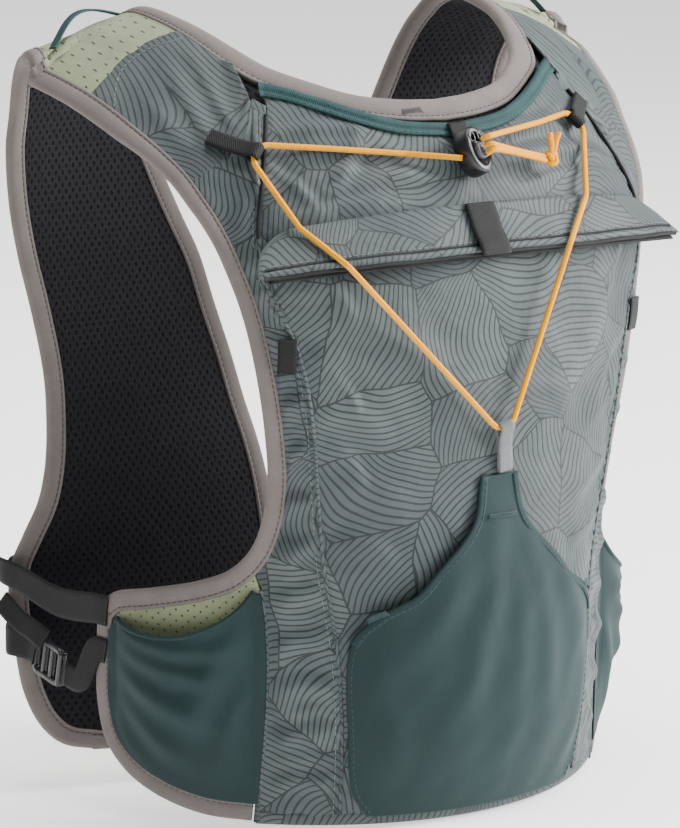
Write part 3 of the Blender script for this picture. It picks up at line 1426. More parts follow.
class VEST_OT_stage(VestOperator):
    """Camera, floor and soft lamps"""

    bl_idname = "vest.stage"
    bl_label = "Stage"

    def make(self, sizes):
        camera = bpy.data.objects.new("camera", bpy.data.cameras.new("camera"))
        bpy.context.scene.collection.objects.link(camera)
        camera.data.lens = sizes.lens
        camera.data.sensor_width = 36
        camera.data.clip_end = 50
        camera.location = (-1.4075, -1.8951, 0.2241)
        aim = Vector((0.5921, 0.7858, -0.1788))
        camera.rotation_euler = aim.to_track_quat("-Z", "Y").to_euler()
        bpy.context.scene.camera = camera

        low = CAD_BOX[0][2] - 0.002
        work = bmesh.new()
        bmesh.ops.create_grid(work, x_segments=8, y_segments=8, size=6)
        bmesh.ops.translate(work, verts=work.verts, vec=(0, 0, low))
        mesh = bpy.data.meshes.new("floor")
        work.to_mesh(mesh)
        work.free()
        mesh.materials.append(floor_finish())
        floor = bpy.data.objects.new("floor", mesh)
        bpy.context.scene.collection.objects.link(floor)

        for name, spot_at, size, power in (
            ("side lamp", (1.9, -1.3, 0.95), 1.7, 200),
            ("fill lamp", (-1.7, -1.4, 1.2), 1.6, 5),
            ("front lamp", (-0.6, 1.9, 1.3), 1.8, 16),
            ("top lamp", (0.1, -0.2, 2.2), 1.8, 70),
        ):
            data = bpy.data.lights.new(name, "AREA")
            data.size = size
            data.energy = power * sizes.light
            lamp = bpy.data.objects.new(name, data)
            bpy.context.scene.collection.objects.link(lamp)
            lamp.location = spot_at
            towards = Vector((0, -0.05, -0.2)) - Vector(spot_at)
            lamp.rotation_euler = towards.to_track_quat("-Z", "Y").to_euler()
        world = bpy.data.worlds.new("pale room")
        bpy.context.scene.world = world
        world.use_nodes = True
        ground = world.node_tree.nodes["Background"]
        ground.inputs[0].default_value = (1, 1, 1, 1)
        ground.inputs[1].default_value = 0.3


class VEST_OT_cords(VestOperator):
    """Elastic cord with its two tails and their knot"""

    bl_idname = "vest.cords"
    bl_label = "Elastic cord"

    def make(self, sizes):
        path = rounded(cord_route(), BEND)
        shell = Shell()
        round_tube(shell, path, CORD)
        cord = shell.finish("elastic_cord", [finish_of("cord")], "cord", ["bungee_cord"])

        size = 1.12
        turn = np.stack([LOCK_SIDE, LOCK_UP, LOCK_FACE], 1)
        t = np.linspace(0, 2 * np.pi, 120, endpoint=False)
        ring = np.stack([
            (2 + np.cos(3 * t)) * np.cos(2 * t), (2 + np.cos(3 * t)) * np.sin(2 * t),
            1.2 * np.sin(3 * t)], 1) * size
        shell = Shell()
        loop = KNOT + ring @ turn.T
        round_tube(shell, np.vstack([loop, loop[:1]]), CORD * 0.92, 12)
        for way in (-1, 1):
            strand = smooth_path([
                KNOT, KNOT + (way * 1.0, -1, 1.8 * CORD), KNOT + (way * 1.5, -1.4, 3 * CORD),
                KNOT + (way * 3.0, -2, 4.6 * CORD)], 0.6)
            taper = np.ones(len(strand))
            taper[-2:] = (0.92, 0.6)
            round_tube(shell, strand, CORD, 12, taper=taper)
        knot = shell.finish("tied_knot", [finish_of("cord")], "cord", ["cord_knot"])

        for row, word in ((0, "upper"), (-1, "lower")):
            start = LOCK_FRONT + LOCK_UP * row * STRAND
            end = KNOT + LOCK_UP * (row + 0.5) * STRAND * 0.55 - (3.2 * CORD / 2 - 0.6, 0, 0)
            tail = rounded([start, start + LOCK_FACE * 4, end], BEND, 1.0)
            along = np.linspace(0, 1, len(tail))[:, None]
            tail = tail + LOCK_UP * np.sin(np.pi * along) * (0.9 if row else -0.5)
            shell = Shell()
            round_tube(shell, tail, CORD)
            made = shell.finish(
                f"cord_tail_{word}_strand", [finish_of("cord")], "cord", [f"cord_tail_{word}"])


def declare_sheet(grids):
    """Says how large the cloth was cut, from its smooth surface before any fold"""
    wide = 0.0
    tall = 0.0
    for w, s, times in grids:
        points = place(w, s, SHELL_HIGH)
        across = np.linalg.norm(np.diff(points, axis=1), axis=-1).sum(axis=1).max()
        along = np.linalg.norm(np.diff(points, axis=0), axis=-1).sum(axis=0).max()
        wide = max(wide, across * times)
        tall = max(tall, along)
    if len(grids) > 1:
        wide *= len(grids)


class VEST_OT_lining(VestOperator):
    """Spacer mesh against the back"""

    bl_idname = "vest.lining"
    bl_label = "Back lining"

    def make(self, sizes):
        neck = NECK.line(-TUCK, NECK_YOKE_TOP, 0)
        neck[-1, 0] = 0
        medial = np.vstack([neck, [(0, HEM)]])
        lateral = np.vstack([ARM.line(TUCK, ARM_YOKE_TOP, ARM_WING), WING_SEAM_EDGE.line()])
        start = np.vstack([medial[:1], shares(YOKE_TOP)[1:-1], lateral[:1]])
        w, s, share, _, _ = cloth_grid(medial, lateral, start, step=2.6, edges="ose")
        edge = np.where(w[:, :1] > 0.6, np.clip((np.abs(w - w[:, :1])) / 1.2, 0, 1), 1)
        share = np.minimum(share, np.sqrt(1 - (1 - edge) ** 2))
        soft = 0.35 * ripples(w, s, 3, 40)
        shell = Shell()
        for side in (-1, 1):
            shell.add_cloth(w, s, share, soft * 0.5, LINING + soft, side)
        made = shell.finish("back_mesh", [finish_of("mesh")], "spacer_mesh", ["back_lining"])
        declare_sheet([(w, s, 2)])


class VEST_OT_front(VestOperator):
    """Mesh lining and green panel of each front strap"""

    bl_idname = "vest.front"
    bl_label = "Front straps"

    def make(self, sizes):
        medial = NECK.line(-TUCK, NECK_YOKE_TOP, 1)
        lateral = ARM.line(TUCK, ARM_YOKE_TOP, 1)
        top = shares(YOKE_TOP)
        start = np.vstack([medial[:1], top[1:-1], lateral[:1]])
        w, s, share, u, _ = cloth_grid(medial, lateral, start, step=step_of(sizes))
        folds = sizes.fold_height * creases(w, s, (
            (0.60, 0.03, 0.90, 0.02, 5, 0.7), (0.62, 0.06, 0.86, 0.085, 6, 0.8),
            (0.70, -0.01, 0.92, 0.03, 5, 0.6), (0.5, 0.3, 0.8, 0.26, 12, 0.8),
            (0.4, 0.5, 0.72, 0.56, 14, 0.8), (0.3, 0.75, 0.8, 0.7, 14, 0.8),
        ))
        room = np.sin(np.pi * np.clip(u, 0, 1))[None, :] ** 0.6
        for side, word in SIDES:
            soft = 0.5 * ripples(w, s, 11 + side, 46) * room
            shell = Shell()
            pad = 0.5 * room
            shell.add_cloth(w, s, share, 0 * w - pad * 0.6 + soft * 0.6, LINING + 0 * w, side)
            made = shell.finish(
                f"front_mesh_{word}", [finish_of("mesh")], "spacer_mesh", [f"front_lining_{word}"])
            declare_sheet([(w, s, 1)])
            shell = Shell()
            high = SHELL_HIGH + (0.4 * ripples(w, s, 21 + side, 30) + folds + 0.5) * room
            shell.add_cloth(w, s, share, high - FABRIC, high, side)
            made = shell.finish(
                f"front_cloth_{word}", [finish_of("green")], "green_fabric",
                [f"front_panel_{word}"])
            declare_sheet([(w, s, 1)])


def puckers(w, s, distance, seed, pitch=6.0, height=0.5, reach=5.0):
    """Short gathers that fade with the distance from a seam"""
    chance = np.random.RandomState(seed)
    run = w + s
    wave = np.sin(2 * np.pi * run / pitch + 1.7 * np.sin(run / 11.0 + chance.uniform(0, 6)))
    return height * wave * np.exp(-((distance / reach) ** 2)) * smooth(distance, 0, 1.2)


class VEST_OT_yoke(VestOperator):
    """Printed yoke behind each shoulder"""

    bl_idname = "vest.yoke"
    bl_label = "Yoke"

    def make(self, sizes):
        medial = NECK.line(-TUCK, NECK_YOKE_TOP, NECK_YOKE_LOW)
        lateral = ARM.line(TUCK, ARM_YOKE_TOP, ARM_YOKE_LOW)
        start = np.vstack([medial[:1] + (0, 1.5), shares(YOKE_TOP)[1:-1] + (0, 1.5), lateral[:1]])
        end = np.vstack([medial[-1:], shares(YOKE_BOTTOM)[1:-1], lateral[-1:]])
        w, s, share, u, v = cloth_grid(medial, lateral, start, end, step=step_of(sizes) * 0.85)
        tall = length_of(lateral)
        below = (1 - v)[:, None] * tall
        seam = w[-1][None, :] + 0 * w, s[-1][None, :] + 0 * s
        rise = np.clip(gusset_height(*seam) - SHELL_HIGH - LAYER_ROOM, 0, 3) * (1 - smooth(below, 0, 18))
        room = np.sin(np.pi * np.clip(u, 0, 1))[None, :] ** 0.5
        for side, word in SIDES:
            soft = 0.55 * ripples(w, s, 31 + side, 24) * room
            gathers = puckers(w, s, below, 5 + side, 5.0, 0.55, 7.0) * room
            folds = creases(w, s, (
                (0.60, -0.03, 0.64, -0.11, 3.5, 0.9), (0.68, -0.03, 0.72, -0.13, 4, 0.6),
                (0.80, -0.05, 0.78, -0.14, 5, 0.6),
            )) * room
            high = SHELL_HIGH + LAYER_ROOM + soft + rise + sizes.fold_height * (gathers + folds)
            shell = Shell()
            shell.add_cloth(w, s, share, high - FABRIC, high, side)
            made = shell.finish(
                f"yoke_cloth_{word}", [finish_of("print yoke")], "printed_fabric", [f"yoke_{word}"])
            declare_sheet([(w, s, 1)])


POCKET_FOLDS = (
    (-0.52, -0.128, -0.20, -0.160, 2.6, 0.9), (0.48, -0.125, 0.14, -0.158, 2.6, 0.9),
    (-0.30, -0.200, 0.10, -0.214, 2.6, 1.0), (-0.60, -0.234, -0.20, -0.238, 2.8, 1.0),
    (-0.63, -0.150, -0.50, -0.235, 3.0, 0.9), (-0.56, -0.29, -0.44, -0.37, 3.5, 0.9),
    (-0.52, -0.42, -0.42, -0.47, 3.0, 0.9), (-0.50, -0.50, -0.40, -0.56, 3.0, 0.9),
    (0.56, -0.29, 0.44, -0.37, 3.5, 0.9), (0.50, -0.43, 0.40, -0.49, 3.0, 0.9),
    (-0.55, -0.158, -0.10, -0.185, 3.6, 1.3), (-0.62, -0.190, -0.12, -0.208, 4.2, 1.7),
    (-0.56, -0.214, 0.06, -0.226, 3.4, 1.3), (0.06, -0.180, 0.50, -0.155, 3.6, 1.2),
    (0.02, -0.208, 0.62, -0.192, 4.4, 1.6), (0.16, -0.230, 0.66, -0.220, 3.2, 1.2),
    (-0.30, -0.140, -0.45, -0.20, 4.0, 1.1), (0.34, -0.135, 0.46, -0.20, 4.0, 1.0),
    (-0.66, -0.31, -0.24, -0.345, 9, 1.3), (0.14, -0.33, 0.62, -0.30, 9, 1.2),
    (-0.50, -0.33, -0.05, -0.53, 11, 1.4), (0.50, -0.33, 0.06, -0.53, 11, 1.4),
    (-0.60, -0.395, -0.38, -0.43, 5, 1.2), (-0.55, -0.46, -0.34, -0.50, 6, 1.2),
    (-0.50, -0.55, -0.27, -0.585, 6, 1.2), (-0.47, -0.62, -0.28, -0.66, 5, 1.1),
    (0.60, -0.40, 0.36, -0.45, 5, 1.2), (0.55, -0.47, 0.34, -0.51, 6, 1.1),
    (0.50, -0.56, 0.28, -0.60, 6, 1.2), (0.46, -0.64, 0.30, -0.66, 5, 1.0),
    (-0.43, -0.74, -0.415, -0.96, 3, 1.0), (0.43, -0.74, 0.415, -0.96, 3, 1.0),
)
GUSSET_FOLDS = (
    (0.50, -0.595, 0.60, -0.615, 2.6, 0.55), (0.48, -0.655, 0.60, -0.672, 2.8, 0.5),
    (0.47, -0.715, 0.60, -0.725, 2.6, 0.55), (0.46, -0.775, 0.60, -0.780, 2.8, 0.5),
    (0.45, -0.83, 0.60, -0.838, 2.6, 0.55), (0.45, -0.89, 0.61, -0.898, 2.8, 0.55),
    (0.57, -0.42, 0.70, -0.425, 2.8, 0.55), (0.56, -0.475, 0.66, -0.505, 2.8, 0.55),
    (0.58, -0.35, 0.64, -0.40, 3.0, 0.55), (0.58, -0.16, 0.70, -0.20, 3.0, 0.55),
    (0.60, -0.22, 0.74, -0.26, 3.2, 0.55), (0.59, -0.28, 0.70, -0.30, 2.8, 0.5),
    (0.70, -0.26, 0.82, -0.30, 4.5, 1.3), (0.70, -0.31, 0.80, -0.345, 5, 1.4),
    (0.62, -0.39, 0.74, -0.375, 4.5, 1.5), (0.58, -0.45, 0.71, -0.47, 4.5, 1.4),
    (0.56, -0.50, 0.66, -0.54, 4.5, 1.6), (0.52, -0.57, 0.64, -0.58, 4, 1.4),
    (0.50, -0.62, 0.63, -0.645, 5, 1.8), (0.47, -0.685, 0.62, -0.70, 5, 1.7),
    (0.46, -0.74, 0.62, -0.755, 4.5, 1.6), (0.44, -0.80, 0.62, -0.805, 5, 1.8),
    (0.44, -0.855, 0.62, -0.87, 4.5, 1.5), (0.44, -0.92, 0.63, -0.925, 4, 1.3),
    (0.66, -0.32, 0.60, -0.60, 6, 1.4), (0.56, -0.60, 0.53, -0.95, 6, 1.5),
    (0.60, -0.13, 0.76, -0.24, 5, 1.3), (0.56, -0.105, 0.66, -0.20, 3.5, 1.2),
)


class VEST_OT_pocket(VestOperator):
    """Printed main pocket, its gussets and its piped mouth"""

    bl_idname = "vest.pocket"
    bl_label = "Main pocket"

    def make(self, sizes):
        step = step_of(sizes)
        mouth = MOUTH_EDGE.line()
        mouth[0, 0] = 0
        middle = np.array([mouth[0], (0, HEM)])
        seam = np.vstack([mouth[-1:], SEAM.line()])
        w, s, share, u, v = cloth_grid(middle, seam, mouth, step=step, edges="ose")
        shell = Shell()
        tall = -HEM
        hemward = smooth(s, HEM, HEM + 9)
        for side in (-1, 1):
            x = w * side
            room = smooth((1 - u)[None, :] * 110, 0, 7) * smooth(v[:, None] * tall, 0, 5)
            folds = creases(x, s, POCKET_FOLDS) * sizes.fold_height
            soft = 0.9 * ripples(x, s, 41, 34) + 0.4 * ripples(x, s, 43, 13)
            gathers = puckers(x, s, (1 - u)[None, :] * 105 + 0 * s, 7 + side, 7.0, 0.55, 5.0)
            high = pack_height(w, s) * (0.55 + 0.45 * hemward) + (folds + soft) * room + gathers
            shell.add_cloth(w, s, share, high - FABRIC * 0.8, high, side, inner_mark=1)
        made = shell.finish(
            "main_pocket_cloth", [finish_of("print"), finish_of("coated")], "printed_fabric",
            ["main_pocket"])
        declare_sheet([(w, s, 2)])

        low = ARM.line(TUCK, ARM_YOKE_LOW, ARM_WING)
        outer = np.vstack([low, WING_SEAM_EDGE.line()])
        inner = SEAM.line()
        start = np.vstack([
            inner[:1], shares(((0.545, -0.080),)), shares(YOKE_BOTTOM)[2:-1] + (0, 2.5),
            outer[:1] + (0, 2)])
        w, s, share, u, v = cloth_grid(inner, outer, start, step=step * 0.95)
        for side, word in SIDES:
            x = w * side
            gap = np.abs(w - seam_across(s))
            room = smooth(gap, 0, 6) * smooth((1 - u)[None, :] * 40, 0, 5) * smooth(v[:, None] * 330, 0, 8)
            folds = creases(w, s * (1 + 0.008 * side), GUSSET_FOLDS) * sizes.fold_height
            soft = 0.9 * ripples(x, s, 51, 22) + 0.4 * ripples(x, s, 53, 9)
            gathers = puckers(x, s, gap, 9 + side, 6.5, 0.6, 5.0)
            high = gusset_height(w, s) * (0.6 + 0.4 * smooth(s, HEM, HEM + 9))
            high = high + (folds + soft) * room + gathers
            shell = Shell()
            shell.add_cloth(w, s, share, high - FABRIC * 0.8, high, side, inner_mark=1)
            made = shell.finish(
                f"gusset_cloth_{word}", [finish_of("print gusset"), finish_of("coated")],
                "printed_fabric", [f"gusset_{word}"])
            declare_sheet([(w, s, 1)])

        def over(extra):
            return lambda a, b: pack_height(a, b) + extra

        mouth_rim = Shell()
        trim(mouth_rim, whole(MOUTH_EDGE), [
            (-4.5, over(0.3)), (-4.6, over(0.9)), (-4.0, over(1.25)), (-3.0, over(1.2)),
            (-2.2, over(0.95)), (-1.7, over(1.5)), (-0.9, over(2.1)), (0.1, over(2.2)),
            (0.9, over(1.7)), (1.25, over(0.7)), (1.0, over(-0.4)), (0.1, over(-1.1)),
            (-0.9, over(-1.1)), (-1.8, over(-0.6)), (-3.0, over(0.0)),
        ])
        mouth_rim.finish("mouth_rim", [finish_of("teal tape")], "teal_fabric", ["mouth_piping"])

        # The seam between a gusset and its wing is closed by a turned welt
        for side, word in SIDES:
            line = WING_SEAM_EDGE.line(0, 0.0, 1.0, 1.5)
            path = place(line[:, 0] * side, line[:, 1], SHELL_HIGH - 0.9)
            shell = Shell()
            round_tube(shell, path, 3.4, 12)
            shell.finish(f"wing_seam_welt_{word}", [finish_of("print gusset")], "printed_fabric")
            path = place(line[:, 0] * side, line[:, 1], 1.3)
            shell = Shell()
            round_tube(shell, path, 3.2, 12)
            shell.finish(f"wing_inside_welt_{word}", [finish_of("mesh")], "spacer_mesh")

        # Dark piping down the upper end of each side seam, and a turned welt below it
        for side, word in SIDES:
            stop = SEAM.reach(-0.250, 0, 0.5)
            line = SEAM.line(0.4, 0.015, stop, 1.5)
            path = place(line[:, 0] * side, line[:, 1], pack_height(line[:, 0], line[:, 1]) + 0.5)
            shell = Shell()
            round_tube(shell, path, 2.0, 10)
            shell.finish(f"seam_piping_{word}", [finish_of("webbing")], "webbing")
            line = SEAM.line(0.2, stop, 0.985, 1.5)
            path = place(line[:, 0] * side, line[:, 1], pack_height(line[:, 0], line[:, 1]) - 0.1)
            shell = Shell()
            round_tube(shell, path, 1.7, 10)
            shell.finish(f"seam_welt_{word}", [finish_of("print gusset")], "printed_fabric")

        def hem_line(distance):
            across = np.linspace(-0.655 * HALF_WIDTH, 0.655 * HALF_WIDTH, 100)
            return np.stack([across, np.full_like(across, HEM - 1.5 + distance)], 1)

        def hem_over(extra):
            return lambda a, b: outer_height(a, np.full_like(b, HEM + 2)) * 0.62 + extra

        shell = Shell()
        trim(shell, hem_line, [
            (7.0, hem_over(0.1)), (6.9, hem_over(0.9)), (6.0, hem_over(1.3)), (4.0, hem_over(1.3)),
            (2.0, hem_over(0.9)), (0.7, hem_over(0.1)), (0.1, hem_over(-1.1)), (0.0, 1.2),
            (0.7, 0.0), (2.0, -0.6), (4.0, -0.8), (6.0, -0.7), (7.0, -0.2), (6.5, 0.5),
        ])
        shell.finish("hem_roll", [finish_of("print gusset")], "printed_fabric")


class VEST_OT_stretch_pocket(VestOperator):
    """Teal stretch pocket on the lower back"""

    bl_idname = "vest.stretch_pocket"
    bl_label = "Stretch pocket"

    def make(self, sizes):
        outer = STRETCH.line()
        middle = np.array([(0, outer[0, 1]), (0, outer[-1, 1])])
        w, s, share, u, v = cloth_grid(middle, outer, step=step_of(sizes), edges="ose")
        folds_of = (
            (-0.02, -0.585, -0.19, -0.90, 7, 1.0), (0.03, -0.585, 0.17, -0.92, 7, 1.0),
            (0.005, -0.60, 0.02, -0.93, 6, 0.7), (-0.09, -0.63, -0.34, -0.80, 8, 1.0),
            (0.10, -0.63, 0.36, -0.82, 8, 1.0), (-0.36, -0.78, -0.30, -0.93, 7, 0.8),
            (0.35, -0.80, 0.28, -0.94, 7, 0.8), (-0.10, -0.72, -0.13, -0.95, 6, 0.5),
        )
        shell = Shell()
        for side in (-1, 1):
            x = w * side
            room = smooth((1 - u)[None, :] * 60, 0, 6) * smooth((v * (1 - v))[:, None] * 160, 0, 6)
            folds = creases(x, s, folds_of) * sizes.fold_height
            soft = 0.5 * ripples(x, s, 61, 30, 2.0)
            high = stretch_height(w, s) + (folds + soft) * room
            shell.add_cloth(w, s, share, high - FABRIC * 0.9, high, side)
        made = shell.finish(
            "stretch_pocket_cloth", [finish_of("teal")], "teal_fabric", ["stretch_pocket"])
        declare_sheet([(w, s, 2)])

        def over(extra):
            return lambda a, b: stretch_height(a, b) + extra

        # Narrow turned edge along the sloping sides
        for side, word in SIDES:
            stop = STRETCH.reach(-0.752, 0, 0.9)
            shell = Shell()
            trim(shell, one_side(STRETCH, side, 0, stop), [
                (0.6, over(-1.1)), (0.7, over(-0.2)), (0.3, over(0.35)), (-0.8, over(0.55)),
                (-2.2, over(0.5)), (-3.1, over(0.35)), (-3.3, over(-0.1)), (-2.0, over(-1.0)),
            ])
            shell.finish(f"stretch_pocket_edge_{word}", [finish_of("teal")], "teal_fabric", turn=True)


# A wing's binding starts a little above the wing's own corner
WING_BOUND = Edge(((1.156, -0.733),) + WING_EDGE)


def wing_lines():
    upper = ARM.line(TUCK, ARM_WING, 0.012)
    lower = WING.line(-TUCK, 1, 0)
    rear = WING_SEAM_EDGE.line() + (CLEARANCE, 0)
    rear = rear[rear[:, 1] > lower[0, 1] + 4]
    rear_end = np.array([(rear[-1, 0] + CLEARANCE, lower[0, 1])])
    return upper, np.vstack([rear_end, lower]), np.vstack([upper[:1], rear, rear_end])


def pocket_top(upper):
    u = np.linspace(0, 1, len(upper))
    top = upper.copy()
    top[:, 1] -= 2 + 13 * np.sin(np.pi * (0.18 + 0.78 * u))
    return top


def wing_bulge(w, s, near, far, lower):
    u = np.clip((np.abs(w) - near) / (far - near), 0, 1)
    order = np.argsort(lower[:, 0])
    base = np.interp(np.abs(w), lower[order, 0], lower[order, 1])
    v = np.clip((s - base) / (0.16 * VEST_LENGTH), 0, 1)
    return WING_BULGE * np.sin(np.pi * u) ** 0.7 * np.sin(np.pi / 2 * v)


class VEST_OT_wings(VestOperator):
    """Side wings with their stretch pockets"""

    bl_idname = "vest.wings"
    bl_label = "Wings"

    def make(self, sizes):
        upper, lower, rear = wing_lines()
        w, s, share, u, v = cloth_grid(upper, lower, rear, step=step_of(sizes))
        for side, word in SIDES:
            soft = 0.45 * ripples(w * side, s, 71, 25) * smooth((u * (1 - u))[None, :] * 60, 0, 5)
            shell = Shell()
            shell.add_cloth(
                w, s, share, LAYER_ROOM + soft * 0.5, SHELL_HIGH + soft, side, inner_mark=1)
            made = shell.finish(
                f"wing_cloth_{word}", [finish_of("green"), finish_of("mesh")], "green_fabric",
                [f"wing_{word}"])
            declare_sheet([(w, s, 1)])

        top = pocket_top(upper)
        back = np.vstack([top[:1], rear[rear[:, 1] < top[0, 1] - 1]])
        w, s, share, u, v = cloth_grid(top, lower, back, step=step_of(sizes) * 0.9)
        near = upper[0, 0]
        far = upper[-1, 0]
        folds_of = (
            (1.08, -0.765, 0.74, -0.800, 5, 1.5), (1.09, -0.785, 0.74, -0.865, 6, 1.7),
            (1.09, -0.810, 0.80, -0.920, 6, 1.5), (0.70, -0.735, 0.84, -0.880, 6, 1.2),
            (1.04, -0.755, 0.72, -0.760, 4, 1.1), (1.10, -0.835, 0.95, -0.935, 5, 1.0),
            (0.67, -0.800, 0.76, -0.940, 5, 1.2),
        )
        for side, word in SIDES:
            room = smooth((u * (1 - u))[None, :] * 70, 0, 8) * smooth((v * (1 - v))[:, None] * 90, 0, 8)
            folds = creases(w, s, folds_of) * sizes.fold_height
            soft = 0.7 * ripples(w * side, s, 81, 24)
            body = SHELL_HIGH + LAYER_ROOM + FABRIC + wing_bulge(w, s, near, far, lower)
            high = body + (folds + soft) * room
            shell = Shell()
            shell.add_cloth(w, s, share, high - FABRIC * 0.9, high, side)
            made = shell.finish(
                f"wing_pocket_cloth_{word}", [finish_of("teal")], "teal_fabric",
                [f"wing_pocket_{word}"])
            declare_sheet([(w, s, 1)])
            line = resample(top, np.linspace(0.0, 1.0, 80))
            rise = SHELL_HIGH + LAYER_ROOM + FABRIC + wing_bulge(line[:, 0], line[:, 1], near, far, lower)
            path = place(line[:, 0] * side, line[:, 1], rise - 0.5)
            shell = Shell()
            round_tube(shell, path, 2.6, 12)
            shell.finish(f"wing_pocket_rim_{word}", [finish_of("teal")], "teal_fabric")


class VEST_OT_bindings(VestOperator):
    """Rounded bindings round every edge"""

    bl_idname = "vest.bindings"
    bl_label = "Bindings"

    def make(self, sizes):
        shell = Shell()
        trim(shell, whole(NECK_LONG), [(-d, h) for d, h in LIP])
        shell.finish("neck_binding_cloth", [finish_of("binding")], "binding", ["neck_binding"], turn=True)
        for side, word in SIDES:
            shell = Shell()
            trim(shell, one_side(ARM, side), list(LIP))
            shell.finish(
                f"armhole_binding_{word}_cloth", [finish_of("binding")], "binding",
                [f"armhole_binding_{word}"], turn=True)
            shell = Shell()
            trim(shell, one_side(WING_BOUND, side), [(-d, h + 0.05) for d, h in LIP])
            shell.finish(
                f"wing_binding_{word}_cloth", [finish_of("binding")], "binding",
                [f"wing_binding_{word}"], turn=True)


class VEST_OT_flap(VestOperator):
    """Printed flap with its rolled lower edge, backing and tab"""

    bl_idname = "vest.flap"
    bl_label = "Flap"

    def make(self, sizes):
        us = np.linspace(-1, 1, 150)
        section = []
        for v in np.linspace(0.0, 0.84, 12):
            section.append((v, 0.75 + 0.25 * math.sin(math.pi * v)))
        section += [(0.87, 0.72), (0.895, 1.5), (0.925, 2.1), (0.965, 2.3), (1.0, 2.0), (1.02, 1.2),
                    (1.03, 0.2), (1.015, -0.7), (0.98, -1.1), (0.93, -1.1), (0.88, -0.85)]
        for v in np.linspace(0.84, 0.0, 8):
            section.append((v, -0.75))
        cols = []
        tip = np.maximum(0, (np.abs(us) - 0.85) / 0.15)
        drop = 0.8 * (1 - np.sqrt(np.maximum(0, 1 - tip * tip)))
        squeeze = np.sqrt(np.maximum(0.02, 1 - np.abs(us) ** 26))
        for v, h in section:
            vv = v + (1 - v) * drop if v <= 1 else np.full_like(us, v)
            cols.append(over_flap(us, vv, h * squeeze + flap_bend(us, v)))
        grid = np.stack(cols, 1)
        around = np.concatenate([[0], np.cumsum(np.linalg.norm(np.diff(grid[75], axis=0), axis=1))])
        lengths = np.stack(np.meshgrid(us * FLAP_HALF_WIDTH, around, indexing="ij"), -1)
        shell = Shell()
        index = shell.add_grid(grid, lengths, close_u=True)
        shell.add_cap(index[0])
        shell.add_cap(index[-1][::-1])
        made = shell.finish("flap_cloth", [finish_of("print flap")], "printed_fabric", ["flap"], turn=True)

        # Two fine cords lie in the groove above the rolled edge
        for name, v, h, size, finish, slot in (
            ("flap_dark_piping", 0.868, 0.95, 1.5, "webbing", "webbing"),
            ("flap_under_piping", 1.045, 0.1, 1.9, "webbing", "webbing"),
        ):
            inside = np.linspace(-0.965, 0.965, 150)
            shell = Shell()
            round_tube(shell, over_flap(inside, v, h + flap_bend(inside, v)), size, 10)
            shell.finish(name, [finish_of(finish)], slot)

        us = np.linspace(-0.95, 0.95, 90)
        shell = Shell()
        cols = []
        low = -FLAP_THICKNESS / 2 - LAYER_ROOM - FABRIC
        for v, h in ((0.55, 0.5), (0.55, 1.0), (0.7, 1.0), (0.9, 1.0), (1.1, 1.0), (1.12, 0.5),
                     (1.1, 0.0), (0.9, 0.0), (0.7, 0.0), (0.55, 0.0)):
            cols.append(over_flap(us, v, low + h * FABRIC))
        grid = np.stack(cols, 1)
        lengths = np.stack(np.meshgrid(us * FLAP_HALF_WIDTH, np.arange(10.0), indexing="ij"), -1)
        index = shell.add_grid(grid, lengths, close_u=True)
        shell.add_cap(index[0])
        shell.add_cap(index[-1][::-1])
        shell.finish("flap_backing_tape", [finish_of("webbing")], "webbing", ["flap_backing"], turn=True)

        lift = FLAP_THICKNESS / 2 + CLEARANCE + TAPE / 2
        rows = smooth_path([
            over_flap(-0.03, v, lift + extra)
            for v, extra in ((0.02, 0.3), (0.3, 0.6), (0.6, 0.6), (0.85, 1.9), (1.0, 2.2), (1.12, 1.0))
        ], 1.0)
        side = over_flap(0.037, 0.5, lift) - over_flap(-0.03, 0.5, lift)
        shell = Shell()
        flat_tape(shell, rows, side, 17.5)
        shell.finish("flap_tab_tape", [finish_of("webbing")], "webbing", ["flap_tab"])


def folded_tape(name, finish, slot, node, corner, sewn, out, width=7.0):
    route = cord_route()
    _, apex, along = arc(route[corner - 1], route[corner], route[corner + 1], BEND)
    back = sewn - apex
    back = back - along * (back @ along)
    length = np.linalg.norm(back)
    back = unit(back)
    lift = np.cross(back, along)
    if lift @ out < 0:
        lift = -lift
    radius = CORD / 2 + 0.5 + TAPE / 2
    layer = (TAPE + 0.15) / 2
    path = [(length, -layer), (radius + 2.5, -layer)]
    for k in range(9):
        a = math.pi * k / 8
        path.append((-radius * math.sin(a), -radius * math.cos(a)))
    path += [(radius + 2.5, layer), (length, layer)]
    line = smooth_path([apex + back * x + lift * y for x, y in path], 0.6)
    shell = Shell()
    flat_tape(shell, line, along, width)
    return shell.finish(name, [finish_of(finish)], slot, [node])


